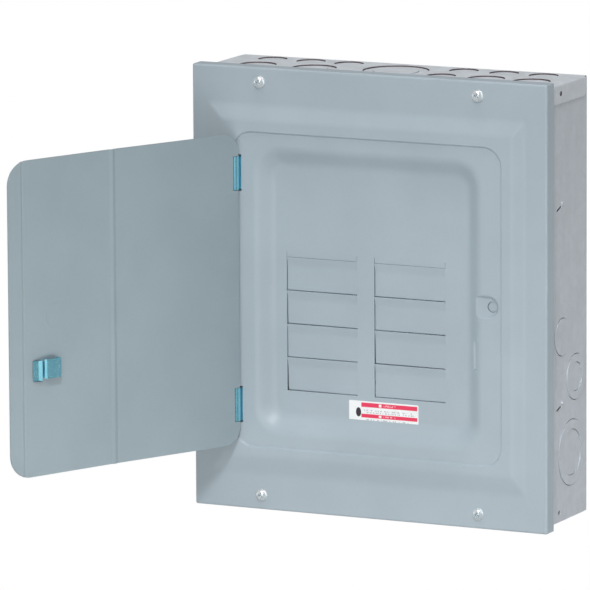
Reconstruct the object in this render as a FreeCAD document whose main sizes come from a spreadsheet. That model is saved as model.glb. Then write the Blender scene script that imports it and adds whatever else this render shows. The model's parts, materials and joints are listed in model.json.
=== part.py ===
"""Residential load center: galvanized box, bus work, drawn trim, hinged door and latch.

Millimetres. X is to the right, Y points into the wall and Z is up. The origin is the middle of
the back wall's outer face, so everything in front of the wall has a negative Y.
"""
import FreeCAD, Part
import os
from FreeCAD import Placement, Rotation, Vector

doc = FreeCAD.newDocument("load_center")
sheet = doc.addObject("Spreadsheet::Sheet", "sizes")
nodes = {}


# ---------------------------------------------------------------- sizes and their formulas
class Size:
    """A number together with the spreadsheet formula that gives it."""

    def __init__(self, value, text):
        self.value = float(value)
        self.text = text

    def __add__(self, other):
        other = as_size(other)
        return Size(self.value + other.value, "(%s + %s)" % (self.text, other.text))

    def __sub__(self, other):
        other = as_size(other)
        return Size(self.value - other.value, "(%s - %s)" % (self.text, other.text))

    def __mul__(self, other):
        other = as_size(other)
        return Size(self.value * other.value, "(%s * %s)" % (self.text, other.text))

    def __truediv__(self, other):
        other = as_size(other)
        return Size(self.value / other.value, "(%s / %s)" % (self.text, other.text))

    def __radd__(self, other):
        return as_size(other) + self

    def __rsub__(self, other):
        return as_size(other) - self

    def __rmul__(self, other):
        return as_size(other) * self

    def __neg__(self):
        return as_size(0) - self


def as_size(value):
    return value if isinstance(value, Size) else Size(value, repr(float(value)))


def size(alias, value):
    """Put one driving dimension in the sheet and return it."""
    size.row += 1
    sheet.set("A%d" % size.row, alias)
    sheet.set("B%d" % size.row, str(value))
    sheet.setAlias("B%d" % size.row, alias)
    return Size(value, "sizes." + alias)


size.row = 0


def bind(item, prop, value):
    item.setExpression(prop, as_size(value).text)


# box
case_width = size("case_width", 283)
case_height = size("case_height", 329)
case_depth = size("case_depth", 81.5)
gauge = size("sheet_gauge", 1.2)
rim_flange = size("rim_flange", 9)
end_flange = size("end_flange", 14)
lap_height = size("lap_height", 14)
lap_depth = size("lap_depth", 76)
mount_x = size("mount_hole_x", 101.6)
mount_z = size("mount_hole_z", 127)
mount_radius = size("mount_hole_radius", 3.4)
side_hole_radius = size("side_hole_radius", 1.9)
side_hole_z = size("side_hole_z", 157.5)
side_hole_out = size("side_hole_out", 52)

# knockouts: radii of the trade sizes, and the places of their centres
knock_half = size("knockout_half_inch", 11.1)
knock_three_quarter = size("knockout_three_quarter", 14.3)
knock_one = size("knockout_one_inch", 17.5)
knock_one_half = size("knockout_one_and_half", 25.0)
knock_gap = size("knockout_gap", 0.4)
knock_tie = size("knockout_tie", 2.0)
knock_sink = size("knockout_sink", 0.3)
# each row: place across the wall, distance out from the back, outer radius, inner radius
END_KNOCKOUTS = [
    (-111.0, 14.5, knock_half, None),
    (-79.0, 14.5, knock_half, None),
    (-47.4, 14.5, knock_half, None),
    (47.4, 14.5, knock_half, None),
    (80.2, 14.5, knock_half, None),
    (112.2, 14.5, knock_half, None),
    (-108.4, 46.0, knock_three_quarter, None),
    (-62.0, 46.0, knock_one, knock_half),
    (0.0, 33.0, knock_one_half, knock_one),
    (42.8, 45.5, knock_half, None),
    (79.2, 45.5, knock_three_quarter, None),
    (116.0, 45.5, knock_three_quarter, None),
]
SIDE_KNOCKOUTS = [
    (-25.4, 46.7, knock_three_quarter, None),
    (-59.2, 21.6, knock_one, knock_half),
    (-115.2, 29.5, knock_one_half, knock_one),
]

# trim
cover_width = size("cover_width", 290)
cover_height = size("cover_height", 336)
cover_front = size("cover_front", 83)
cover_return = size("cover_return", 12.7)
raise_height = size("raise_height", 3.85)
slope_left = size("slope_left", 131.5)
slope_right = size("slope_right", 127)
slope_top = size("slope_top", 139.5)
slope_bottom = size("slope_bottom", 140.5)
panel_left = size("panel_left", 119.5)
panel_right = size("panel_right", 118)
panel_top = size("panel_top", 128.5)
panel_bottom = size("panel_bottom", 126.5)
recess_depth = size("recess_depth", 1.5)
recess_x = size("recess_half_width", 109.3)
recess_z = size("recess_half_height", 119.4)
recess_corner = size("recess_corner", 14.5)
pan_depth = size("pan_depth", 7.45)
pan_x = size("pan_half_width", 91)
pan_z = size("pan_half_height", 107.3)
pan_corner = size("pan_corner", 19)
pan_floor_x = size("pan_floor_half_width", 80.4)
pan_floor_z = size("pan_floor_half_height", 95.5)
pan_floor_corner = size("pan_floor_corner", 11)
channel_depth = size("channel_depth", 2.5)
channel_radius = size("channel_radius", 7.9)
channel_x = size("channel_end_x", 99)
strike_disc_x = size("strike_disc_x", 101.2)
strike_disc_radius = size("strike_disc_radius", 3.9)
strike_slot_z = size("strike_slot_z", -38)
strike_slot_half = size("strike_slot_half_height", 11)
strike_slot_x = size("strike_slot_x", 88.0)
screw_x = size("cover_screw_x", 89.3)
screw_z = size("cover_screw_z", 157)
screw_hole = size("cover_screw_hole_radius", 2.6)
screw_washer = size("cover_screw_washer", 1.1)
label_left = size("label_left_x", -18.6)
label_right = size("label_right_x", 38.5)
label_low = size("label_low_z", -94.9)
label_high = size("label_high_z", -79.5)
label_thick = size("label_thickness", 0.2)

# breaker blanks
pitch = size("breaker_pitch", 25.4)
blank_width = size("blank_width", 58.2)
blank_web = size("blank_web", 14.0)
bus_x = size("bus_centre_x", -4.6)
blank_top = size("blank_top_z", 25.4)
blank_step = size("blank_step", 1.3)
blank_slope = size("blank_slope_height", 6.0)
blank_gap = size("blank_gap", 0.35)
blank_tie = size("blank_tie_height", 2.4)
ROWS = 4

# door, in its own frame: x from the hinge axis along the shut door, y from the axis to the back
hinge_x = size("hinge_axis_x", -107)
hinge_out = size("hinge_axis_out", 88.5)
open_angle = size("door_open_angle", 115)
door_sheet = size("door_sheet", 1.2)
door_back = size("door_back_offset", 2.75)
door_edge = size("door_hinge_edge", -1.0)
door_reach = size("door_reach", 215.3)
door_height = size("door_height", 236)
door_crown = size("door_crown", 1.8)
crease_at = size("door_crease_at", 117.5)
lip_at = size("door_lip_at", 202)
door_corner = size("door_hinge_corner", 14)
door_free_corner = size("door_free_corner", 18)
hinge_z = size("hinge_z", 88)
knuckle_length = size("knuckle_length", 25.4)
knuckle_radius = size("knuckle_radius", 2.75)
pin_radius = size("hinge_pin_radius", 1.2)
pin_clearance = size("hinge_pin_clearance", 0.05)
pin_head = size("hinge_pin_head_radius", 1.45)
hinge_notch = size("hinge_notch_reach", 6.0)
ear_radius = size("hinge_ear_radius", 2.5)
end_play = size("hinge_end_play", 0.3)
lock_at = size("lock_knockout_at", 171.2)
lock_radius = size("lock_knockout_radius", 9.7)

# latch, in the door's frame
latch_z = size("latch_z", -38.5)
strap_half = size("latch_strap_half_height", 8.4)
strap_start = size("latch_strap_start", 171.3)
strap_end = size("latch_strap_end", 185.2)
strap_rise = size("latch_strap_rise", 4.6)
strap_sheet = size("latch_strap_sheet", 0.6)
latch_play = size("latch_play", 0.35)
nose_start = size("latch_nose_start", 187.3)
nose_end = size("latch_nose_end", 194.4)
latch_stem = size("latch_stem_at", 180)
thumb_half = size("latch_thumb_half_height", 6)

# bus work
tray_out = size("tray_out", 9)
tray_half = size("tray_half_width", 74)
tray_low = size("tray_low_z", -92)
tray_high = size("tray_high_z", 60)
foot_x = size("tray_foot_x", 54)
foot_inset = size("tray_foot_inset", 12)
foot_radius = size("tray_foot_radius", 7)
rail_foot = size("rail_foot_width", 11)
hook_reach = size("hook_reach", 6)
hook_half = size("hook_half_height", 7)
rail_out = size("rail_out", 30)
base_half = size("insulator_half_width", 33)
base_out = size("insulator_out", 24)
rib_half = size("insulator_rib_half_width", 6)
rib_rise = size("insulator_rib_rise", 12)
fence_rise = size("insulator_fence_rise", 26)
bar_near = size("bus_bar_near", 9)
bar_far = size("bus_bar_far", 24)
bar_thick = size("bus_bar_thickness", 2.4)
bar_high = size("bus_bar_high_z", 92)
stab_half = size("stab_half_length", 9)
stab_rise = size("stab_rise", 14)
finger_half = size("bus_finger_half_height", 7)
lug_half = size("line_lug_half_width", 10)
lug_low = size("line_lug_low_z", 62)
lug_high = size("line_lug_high_z", 90)
lug_rise = size("line_lug_rise", 25)
lug_bore = size("line_lug_bore_radius", 6.5)
lug_screw = size("lug_screw_radius", 5)
thread_gap = size("thread_gap", 0.05)
neutral_x = size("neutral_x", 101)
neutral_half = size("neutral_half_width", 5)
neutral_low = size("neutral_low_z", -70)
neutral_high = size("neutral_high_z", 52)
neutral_near = size("neutral_near_out", 21)
neutral_far = size("neutral_far_out", 30)
neutral_pitch = size("neutral_pitch", 8.4)
neutral_bore = size("neutral_bore_radius", 2.3)
bond_inset = size("bonding_screw_inset", 5)
tang_height = size("neutral_lug_tang_height", 8)
tang_thick = size("neutral_lug_tang_thickness", 2.5)
post_half = size("neutral_post_half_width", 6)
NEUTRAL_HOLES = 13

TURN = {
    "x": Rotation(Vector(0, 1, 0), 90),
    "y": Rotation(Vector(1, 0, 0), -90),
    "z": Rotation(),
}


# ---------------------------------------------------------------- making objects
def keep(label, item):
    """Name a finished sub-part and list it for writing."""
    item.Label = label
    nodes[label] = item
    return item


def block(x, y, z):
    """A box between (low, high) on each axis."""
    item = doc.addObject("Part::Box", "block")
    for axis, side, (low, high) in zip("xyz", ("Length", "Width", "Height"), (x, y, z)):
        bind(item, "Placement.Base." + axis, low)
        bind(item, side, high - as_size(low))
    return item


def rod(axis, x, y, z, radius, length):
    """A cylinder that starts at a point and runs up the axis."""
    item = doc.addObject("Part::Cylinder", "rod")
    item.Placement = Placement(Vector(), TURN[axis])
    for name, place in zip("xyz", (x, y, z)):
        bind(item, "Placement.Base." + name, place)
    bind(item, "Radius", radius)
    bind(item, "Height", length)
    return item


def span(one, other):
    """Two places on an axis in rising order."""
    one, other = as_size(one), as_size(other)
    return (one, other) if one.value < other.value else (other, one)


def about(middle, half):
    return (middle - as_size(half), middle + as_size(half))


def slotted(x, seat, z, radius, height, shank_radius, shank_length):
    """A slotted screw driven into the wall, with the underside of its head at the seat."""
    slot_half = radius / 7
    slot_deep = height * 0.4
    head = rod("y", x, seat - height, z, radius, height)
    slot = block(about(x, radius + 0.5), (seat - height - 0.1, seat - height + slot_deep),
                 about(z, slot_half))
    shank = rod("y", x, seat, z, shank_radius, shank_length)
    return fuse(cut(head, slot), shank)


def set_screw(x, front, z, radius, length):
    """A headless slotted screw along the way into the wall."""
    slot = block(about(x, radius - 0.8), (front - 0.5, front + 2), about(z, 0.8))
    return cut(rod("y", x, front, z, radius, length), slot)


def fuse(*items):
    item = doc.addObject("Part::MultiFuse", "fused")
    item.Shapes = list(items)
    item.Refine = True
    return item


def common(first, second):
    item = doc.addObject("Part::Common", "common")
    item.Base = first
    item.Tool = second
    return item


def cut(base, *tools):
    item = doc.addObject("Part::Cut", "cut")
    item.Base = base
    item.Tool = tools[0] if len(tools) == 1 else group(*tools)
    return item


def group(*items):
    """Separate solids kept together in one sub-part."""
    item = doc.addObject("Part::Compound", "group")
    item.Links = list(items)
    return item


def new_body(label):
    item = doc.addObject("PartDesign::Body", label)
    item.Label = label
    return item


def sketch_on(body, plane, offset, draw):
    sketch = body.newObject("Sketcher::SketchObject", body.Name + "_sketch")
    base = [item for item in body.Origin.OriginFeatures if item.Role == plane + "_Plane"][0]
    sketch.AttachmentSupport = [(base, "")]
    sketch.MapMode = "FlatFace"
    bind(sketch, "AttachmentOffset.Base.z", offset)
    draw(sketch)
    return sketch


def pad(body, plane, low, high, draw):
    """Fill an outline between two levels of the plane's third axis."""
    offset = -high if plane == "XZ" else low
    feature = body.newObject("PartDesign::Pad", body.Name + "_pad")
    feature.Profile = sketch_on(body, plane, offset, draw)
    bind(feature, "Length", high - as_size(low))
    return feature


def pocket(body, plane, low, high, draw):
    """Cut an outline out between two levels of the plane's third axis."""
    offset = -as_size(low) if plane == "XZ" else high
    feature = body.newObject("PartDesign::Pocket", body.Name + "_pocket")
    feature.Profile = sketch_on(body, plane, offset, draw)
    bind(feature, "Length", high - as_size(low))
    pockets.append((body, feature))
    return feature


pockets = []


def loft(body, kind, sections):
    """Blend between outlines given as (Y level, draw)."""
    sketches = [sketch_on(body, "XZ", -as_size(level), draw) for level, draw in sections]
    feature = body.newObject("PartDesign::" + kind, body.Name + "_loft")
    feature.Profile = sketches[0]
    feature.Sections = sketches[1:]
    feature.Ruled = True
    return feature


def constrain(sketch, kind, places, value):
    """Add a distance or radius whose value follows the sheet."""
    import Sketcher
    index = sketch.addConstraint(Sketcher.Constraint(kind, *places, value.value))
    sketch.setExpression("Constraints[%d]" % index, value.text)


def polygon(*points):
    """Draw a closed outline through points, each held by its own two distances."""
    points = [(as_size(u), as_size(v)) for u, v in points]

    def draw(sketch):
        import Sketcher
        count = len(points)
        for here, there in zip(points, points[1:] + points[:1]):
            start = Vector(here[0].value, here[1].value, 0)
            end = Vector(there[0].value, there[1].value, 0)
            sketch.addGeometry(Part.LineSegment(start, end), False)
        for index in range(count):
            after = (index + 1) % count
            sketch.addConstraint(Sketcher.Constraint("Coincident", index, 2, after, 1))
        for index, point in enumerate(points):
            for kind, value in zip(("DistanceX", "DistanceY"), point):
                if value.value > 0:
                    constrain(sketch, kind, (-1, 1, index, 1), value)
                elif value.value < 0:
                    constrain(sketch, kind, (index, 1, -1, 1), -value)
                else:
                    axis = -2 if kind == "DistanceX" else -1
                    sketch.addConstraint(Sketcher.Constraint("PointOnObject", index, 1, axis))
    return draw


def circle(u, v, radius):
    u, v, radius = as_size(u), as_size(v), as_size(radius)

    def draw(sketch):
        import Sketcher
        round_shape = Part.Circle(Vector(u.value, v.value, 0), Vector(0, 0, 1), radius.value)
        index = sketch.addGeometry(round_shape, False)
        constrain(sketch, "Radius", (index,), radius)
        for kind, value in (("DistanceX", u), ("DistanceY", v)):
            if value.value > 0:
                constrain(sketch, kind, (-1, 1, index, 3), value)
            elif value.value < 0:
                constrain(sketch, kind, (index, 3, -1, 1), -value)
            else:
                axis = -2 if kind == "DistanceX" else -1
                sketch.addConstraint(Sketcher.Constraint("PointOnObject", index, 3, axis))
    return draw


def rounded(half_u, half_v, corner):
    """Draw a rectangle with round corners about the origin."""
    half_u, half_v, corner = as_size(half_u), as_size(half_v), as_size(corner)

    def draw(sketch):
        import Sketcher
        a, b, r = half_u.value, half_v.value, corner.value
        sides = [((r - a, -b), (a - r, -b)), ((a, r - b), (a, b - r)),
                 ((a - r, b), (r - a, b)), ((-a, b - r), (-a, r - b))]
        for start, end in sides:
            sketch.addGeometry(Part.LineSegment(Vector(*start, 0), Vector(*end, 0)), False)
        centres = [(a - r, r - b), (a - r, b - r), (r - a, b - r), (r - a, r - b)]
        for turn, centre in enumerate(centres):
            ring = Part.Circle(Vector(*centre, 0), Vector(0, 0, 1), r)
            first = (turn - 1) * QUARTER
            sketch.addGeometry(Part.ArcOfCircle(ring, first, first + QUARTER), False)
        for side in range(4):
            arc = 4 + side
            after = (side + 1) % 4
            sketch.addConstraint(Sketcher.Constraint("Tangent", side, 2, arc, 1))
            sketch.addConstraint(Sketcher.Constraint("Tangent", arc, 2, after, 1))
        sketch.addConstraint(Sketcher.Constraint("Horizontal", 0))
        sketch.addConstraint(Sketcher.Constraint("Horizontal", 2))
        sketch.addConstraint(Sketcher.Constraint("Vertical", 1))
        sketch.addConstraint(Sketcher.Constraint("Vertical", 3))
        for arc in (5, 6, 7):
            sketch.addConstraint(Sketcher.Constraint("Equal", 4, arc))
        sketch.addConstraint(Sketcher.Constraint("Symmetric", 4, 3, 6, 3, -1, 1))
        constrain(sketch, "Radius", (4,), corner)
        constrain(sketch, "DistanceX", (3, 1, 1, 1), half_u * 2)
        constrain(sketch, "DistanceY", (0, 1, 2, 1), half_v * 2)
    return draw


QUARTER = 1.5707963267948966


def round_edges(body, radius, wanted):
    """Round the edges of the body's tip that the test picks."""
    doc.recompute()
    tip = body.Tip
    names = ["Edge%d" % (index + 1) for index, edge in enumerate(tip.Shape.Edges) if wanted(edge)]
    feature = body.newObject("PartDesign::Fillet", body.Name + "_round")
    feature.Base = (tip, names)
    bind(feature, "Radius", radius)
    return feature


def runs_along(edge, direction):
    ends = [vertex.Point for vertex in edge.Vertexes]
    if len(ends) != 2 or edge.Curve.TypeId != "Part::GeomLine":
        return False
    return abs((ends[1] - ends[0]).normalize().dot(direction)) > 0.999


def on_hinge(item):
    """Turn a piece made in the door's frame to where the standing-open door has it."""
    item.Placement = Placement(Vector(), Rotation(Vector(0, 0, -1), open_angle.value))
    bind(item, "Placement.Rotation.Angle", open_angle)
    bind(item, "Placement.Base.x", hinge_x)
    bind(item, "Placement.Base.y", -hinge_out)
    return item


# ---------------------------------------------------------------- the box
side_x = case_width / 2
top_z = case_height / 2
rim = -case_depth


def knockout_tools(rows, place):
    """Through holes for a wall's knockouts."""
    return [place(across, out, outer, 0.0) for across, out, outer, inner in rows]


def tied_disc(across, out, radius, place, tie):
    """A disc sunk a little in its hole and joined to the hole's edge by two narrow ties."""
    disc = place(across, out, radius - knock_gap, knock_sink)
    bridge = common(tie(across, out, radius), place(across, out, radius, knock_sink))
    return fuse(disc, bridge)


def knockout_disc(across, out, outer, inner, place, tie):
    """One knockout: a disc, or a ring round a smaller disc."""
    plate = tied_disc(across, out, outer, place, tie)
    if inner is None:
        return [plate]
    ring = cut(plate, place(across, out, inner, knock_sink))
    return [ring, tied_disc(across, out, inner, place, tie)]


def make_wrapper():
    body = new_body("case_wrapper")
    inner = side_x - gauge
    flange_x = side_x - rim_flange
    behind_rim = rim + gauge
    outline = polygon((-side_x, 0), (side_x, 0), (side_x, rim), (flange_x, rim),
                      (flange_x, behind_rim), (inner, behind_rim), (inner, -gauge),
                      (-inner, -gauge), (-inner, behind_rim), (-flange_x, behind_rim),
                      (-flange_x, rim), (-side_x, rim))
    pad(body, "XY", -top_z, top_z - gauge, outline)
    for across in (-mount_x, mount_x):
        for height in (-mount_z, mount_z):
            pocket(body, "XZ", -gauge * 2, gauge, circle(across, height, mount_radius))
    for height in (-side_hole_z, side_hole_z):
        pocket(body, "YZ", -side_x * 2, side_x * 2, circle(-side_hole_out, height, side_hole_radius))
    left = knockout_tools(SIDE_KNOCKOUTS, left_disc)
    right = knockout_tools(SIDE_KNOCKOUTS, right_disc)
    return keep("case_wrapper", cut(body, *left, *right, *flange_corners()))


def flange_corners():
    """Corner notches in the side walls' front flanges, where the end walls' flanges lie."""
    inner = side_x - gauge
    reach = end_flange + gauge
    notches = []
    for low_x in (-inner, inner - rim_flange):
        for low_z in (-top_z, top_z - reach):
            notches.append(block((low_x, low_x + rim_flange), (rim - 1, rim + gauge),
                                 (low_z, low_z + reach)))
    return notches


def right_disc(height, out, radius, sink):
    return rod("x", side_x - gauge - sink, -as_size(out), height, radius, gauge)


def left_disc(height, out, radius, sink):
    return rod("x", -side_x + sink, -as_size(out), height, radius, gauge)


def top_disc(across, out, radius, sink):
    return rod("z", across, -as_size(out), top_z - gauge - sink, radius, gauge)


def bottom_disc(across, out, radius, sink):
    return rod("z", across, -as_size(out), -top_z + sink, radius, gauge)


def side_tie(height, out, radius):
    reach = side_x + 2
    return block((-reach, reach), (-as_size(out) - radius, -as_size(out) + radius),
                 (height - knock_tie / 2, height + knock_tie / 2))


def end_tie(across, out, radius):
    return block((across - radius, across + radius),
                 (-as_size(out) - knock_tie / 2, -as_size(out) + knock_tie / 2),
                 (-top_z - 2, top_z + 2))


def knockouts(label, rows, place, tie):
    solids = []
    for across, out, outer, inner in rows:
        solids += knockout_disc(across, out, outer, inner, place, tie)
    return keep(label, group(*solids))


def make_top_wall():
    plate = block((-side_x - gauge, side_x + gauge), (rim, 0), (top_z - gauge, top_z))
    low = top_z - lap_height
    laps = [block((side_x, side_x + gauge), (rim, rim + lap_depth), (low, top_z - gauge)),
            block((-side_x - gauge, -side_x), (rim, rim + lap_depth), (low, top_z - gauge))]
    front = block((-side_x + gauge, side_x - gauge), (rim, rim + gauge),
                  (top_z - end_flange, top_z - gauge))
    rear = block((-side_x + gauge, side_x - gauge), (-gauge * 2, -gauge),
                 (top_z - end_flange, top_z - gauge))
    wall = fuse(plate, front, rear, *laps)
    holes = knockout_tools(END_KNOCKOUTS, top_disc)
    holes += [rod("y", x, rim - 1, screw_z, screw_hole, gauge + 2) for x in (-screw_x, screw_x)]
    holes += [rod("x", -side_x - 4, -side_hole_out, side_hole_z, side_hole_radius, side_x * 2 + 8)]
    return keep("top_end_wall", cut(wall, *holes))


def make_bottom_wall():
    inner = side_x - gauge
    plate = block((-inner, inner), (rim, -gauge), (-top_z, -top_z + gauge))
    high = -top_z + end_flange
    laps = [block((inner - gauge, inner), (rim + gauge, -gauge * 2), (-top_z + gauge, high)),
            block((-inner, -inner + gauge), (rim + gauge, -gauge * 2), (-top_z + gauge, high))]
    front = block((-inner, inner), (rim, rim + gauge), (-top_z + gauge, high))
    rear = block((-inner, inner), (-gauge * 2, -gauge), (-top_z + gauge, high))
    wall = fuse(plate, front, rear, *laps)
    holes = knockout_tools(END_KNOCKOUTS, bottom_disc)
    holes += [rod("y", x, rim - 1, -screw_z, screw_hole, gauge + 2) for x in (-screw_x, screw_x)]
    holes += [rod("x", -side_x - 4, -side_hole_out, -side_hole_z, side_hole_radius, side_x * 2 + 8)]
    return keep("bottom_end_wall", cut(wall, *holes))


# ---------------------------------------------------------------- the bus work
tray_face = -tray_out - gauge
base_face = -base_out
bar_face = base_face - bar_thick


def row_z(row):
    """Height of the middle of a breaker row, counted down from 0."""
    return blank_top - pitch * (row + 0.5)


def make_tray():
    body = new_body("interior_support")
    low, high = about(bus_x, tray_half)
    pad(body, "XZ", tray_face, -tray_out, polygon((low, tray_low), (high, tray_low),
                                                  (high, tray_high), (low, tray_high)))
    corners = [(x, z) for x in about(bus_x, foot_x)
               for z in (tray_low + foot_inset, tray_high - foot_inset)]
    feet = [rod("y", x, -tray_out, z, foot_radius, tray_out - gauge) for x, z in corners]
    holes = [rod("y", x, tray_face - 1, z, 2.2, tray_out + gauge) for x, z in corners]
    screws = [slotted(x, tray_face, z, 4.2, 2.6, 2.1, tray_out) for x, z in corners]
    keep("interior_screws", group(*screws))
    return keep("interior_support", cut(fuse(body, *feet), *holes))


def make_rails():
    """An upright at each edge of the tray, with one outward hook for each breaker row."""
    for name, sign in (("left", -1), ("right", 1)):
        edge = bus_x + tray_half * sign
        back = edge - gauge * sign
        tall = (tray_low, blank_top + 4)
        upright = block(span(edge, back), (-rail_out, tray_face), tall)
        foot = block(span(back, edge - rail_foot * sign), (tray_face - gauge, tray_face), tall)
        hooks = [block(span(edge, edge + hook_reach * sign), (-rail_out, -rail_out + gauge),
                       about(row_z(row), hook_half)) for row in range(ROWS)]
        keep("hook_rail_" + name, fuse(upright, foot, *hooks))


def make_insulator():
    body = new_body("bus_insulator")
    low, high = about(bus_x, base_half)
    bottom = tray_low + 4
    pad(body, "XZ", base_face, tray_face, polygon((low, bottom), (high, bottom),
                                                  (high, bar_high), (low, bar_high)))
    ribs = [block(about(bus_x, rib_half), (base_face - rib_rise, base_face),
                  about(blank_top - pitch * row, gauge)) for row in range(ROWS + 1)]
    fence = block(about(bus_x, gauge), (base_face - fence_rise, base_face),
                  (lug_low - 6, bar_high))
    return keep("bus_insulator", fuse(body, *ribs, fence))


def make_bus_bar(name, sign, rows):
    """A strap up one side of the base, with a finger and a standing stab for its rows."""
    near = bus_x + bar_near * sign
    far = bus_x + bar_far * sign
    parts = [block(span(near, far), (bar_face, base_face), (tray_low + 8, lug_high))]
    for row in rows:
        level = row_z(row)
        finger = span(near, bus_x - stab_half * sign)
        parts.append(block(finger, (bar_face, base_face), about(level, finger_half)))
        parts.append(block(about(bus_x, stab_half), (bar_face - stab_rise, bar_face),
                           about(level, gauge)))
    keep("bus_bar_" + name, fuse(*parts))


def make_line_lug(name, sign):
    """A lug: the cable enters from above and a screw bears on it from the front."""
    centre = bus_x + (bar_near + bar_far) / 2 * sign
    front = bar_face - lug_rise
    level = (lug_low + lug_high) / 2
    body = block(about(centre, lug_half), (front, bar_face), (lug_low, lug_high))
    bore = rod("z", centre, bar_face - lug_rise * 0.42, lug_low - 1, lug_bore,
               lug_high - lug_low + 2)
    tapped = rod("y", centre, front - 1, level, lug_screw + thread_gap, lug_rise / 2)
    keep("line_lug_" + name, cut(body, bore, tapped))
    return set_screw(centre, front - 1.5, level, lug_screw, 9)


def make_neutral():
    body = new_body("neutral_bar")
    low, high = about(neutral_x, neutral_half)
    pad(body, "XZ", -neutral_far, -neutral_near, polygon((low, neutral_low), (high, neutral_low),
                                                         (high, neutral_high), (low, neutral_high)))
    middle = -(neutral_near + neutral_far) / 2
    holes = []
    screws = []
    for index in range(NEUTRAL_HOLES):
        level = neutral_low + 14 + neutral_pitch * index
        holes.append(rod("x", low - 1, middle, level, neutral_bore, neutral_half * 2 + 2))
        holes.append(rod("y", neutral_x, -neutral_far - 1, level, 2 + thread_gap, 5.5))
        screws.append(slotted(neutral_x, -neutral_far, level, 3.2, 3, 2, 2))
    bond_z = neutral_low + bond_inset
    bond_radius = as_size(2.3)
    holes.append(rod("y", neutral_x, -neutral_far - 1, bond_z, bond_radius + thread_gap,
                     neutral_far))
    keep("neutral_bar", cut(body, *holes))
    keep("neutral_screws", group(*screws))
    keep("bonding_screw", slotted(neutral_x, -neutral_far, bond_z, 4, 3.2, bond_radius,
                                  neutral_far - gauge))
    posts = [block(about(neutral_x, post_half), (-neutral_near, -gauge), about(level, 7))
             for level in (neutral_low + 24.8, neutral_high - 16)]
    keep("neutral_posts", group(*posts))
    make_neutral_lug()


def make_neutral_lug():
    """The neutral lug stands on a tang at the bar's end, so a cable can pass right through."""
    deep = 22
    tall = 27
    low = neutral_high + tang_height
    top = low + tall
    front = -neutral_near - deep
    level = (low + top) / 2
    body = block(about(neutral_x, lug_half), (front, -neutral_near), (low, top))
    tang = block(about(neutral_x, neutral_half), (-neutral_near - tang_thick, -neutral_near),
                 (neutral_high, low))
    bore = rod("z", neutral_x, -neutral_near - 10, low - 1, lug_bore, tall + 2)
    tapped = rod("y", neutral_x, front - 1, level, lug_screw + thread_gap, deep / 2)
    keep("neutral_lug", fuse(cut(body, bore, tapped), tang))
    keep("neutral_lug_screw", set_screw(neutral_x, front - 1.5, level, lug_screw, 6.8))


# ---------------------------------------------------------------- the trim
front_y = -cover_front
panel_y = front_y - raise_height
recess_y = panel_y + recess_depth
floor_y = recess_y + pan_depth


def cover_form(label, wall):
    """The drawn face as a solid: the face itself, or with a wall the space behind it."""
    body = new_body(label)
    half_x, half_z = cover_width / 2 - wall, cover_height / 2 - wall
    back = front_y + cover_return + (1 if wall.value else 0)
    pad(body, "XZ", front_y + wall, back, polygon((-half_x, -half_z), (half_x, -half_z),
                                                  (half_x, half_z), (-half_x, half_z)))
    outer = polygon((-slope_left, -slope_bottom), (slope_right, -slope_bottom),
                    (slope_right, slope_top), (-slope_left, slope_top))
    inner = polygon((-panel_left, -panel_bottom), (panel_right, -panel_bottom),
                    (panel_right, panel_top), (-panel_left, panel_top))
    loft(body, "AdditiveLoft", [(front_y + wall, outer), (panel_y + wall, inner)])
    pocket(body, "XZ", panel_y + wall - 1, recess_y + wall,
           rounded(recess_x + wall, recess_z + wall, recess_corner + wall))
    loft(body, "SubtractiveLoft",
         [(recess_y + wall, rounded(pan_x + wall / 2, pan_z + wall / 2, pan_corner)),
          (floor_y + wall, rounded(pan_floor_x + wall / 2, pan_floor_z + wall / 2,
                                   pan_floor_corner))])
    return body


def channel_form(wall):
    """The latch channel: from the pan's right wall to a round end in the recess."""
    depth = channel_depth + wall + 1
    radius = channel_radius + wall
    run = block((pan_floor_x, channel_x), (recess_y - 1, recess_y - 1 + depth), (-radius, radius))
    end = rod("y", channel_x, recess_y - 1, 0, radius, depth)
    return fuse(run, end)


def make_cover():
    no_wall = as_size(0)
    face = cut(cover_form("cover_face", no_wall), channel_form(no_wall))
    space = cut(cover_form("cover_space", gauge), channel_form(gauge))
    sheet_part = cut(face, space)
    tools = [rod("y", x, front_y - 1, z, screw_hole, gauge + 2)
             for x in (-screw_x, screw_x) for z in (-screw_z, screw_z)]
    for low in (bus_x - blank_web / 2 - blank_width, bus_x + blank_web / 2):
        tools.append(block((low, low + blank_width), (floor_y - 2, floor_y + gauge + 2),
                           (blank_top - pitch * ROWS, blank_top)))
    for level in (-hinge_z, hinge_z):
        half = knuckle_length / 2 + 0.6
        tools.append(block((hinge_x + knuckle_radius - gauge - 0.3, hinge_x + knuckle_radius + 0.4),
                           (recess_y - 0.5, recess_y + gauge + 0.5), (level - half, level + half)))
    tools.append(block((pan_floor_x + 1.2, strike_slot_x), (recess_y + 1.2, floor_y + gauge + 1),
                       (strike_slot_z - strike_slot_half, strike_slot_z + strike_slot_half)))
    tools.append(rod("y", strike_disc_x, recess_y, 0, strike_disc_radius, channel_depth + gauge + 2))
    return keep("cover", cut(sheet_part, *tools))


def make_cover_knockout():
    level = recess_y + channel_depth + 0.7
    disc = rod("y", strike_disc_x, level, 0, strike_disc_radius - 0.3, gauge)
    tie = common(block((strike_disc_x - 5, strike_disc_x + 5), (level, level + 1), (-0.8, 0.8)),
                 rod("y", strike_disc_x, level, 0, strike_disc_radius, gauge))
    return keep("cover_knockout", fuse(disc, tie))


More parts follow.
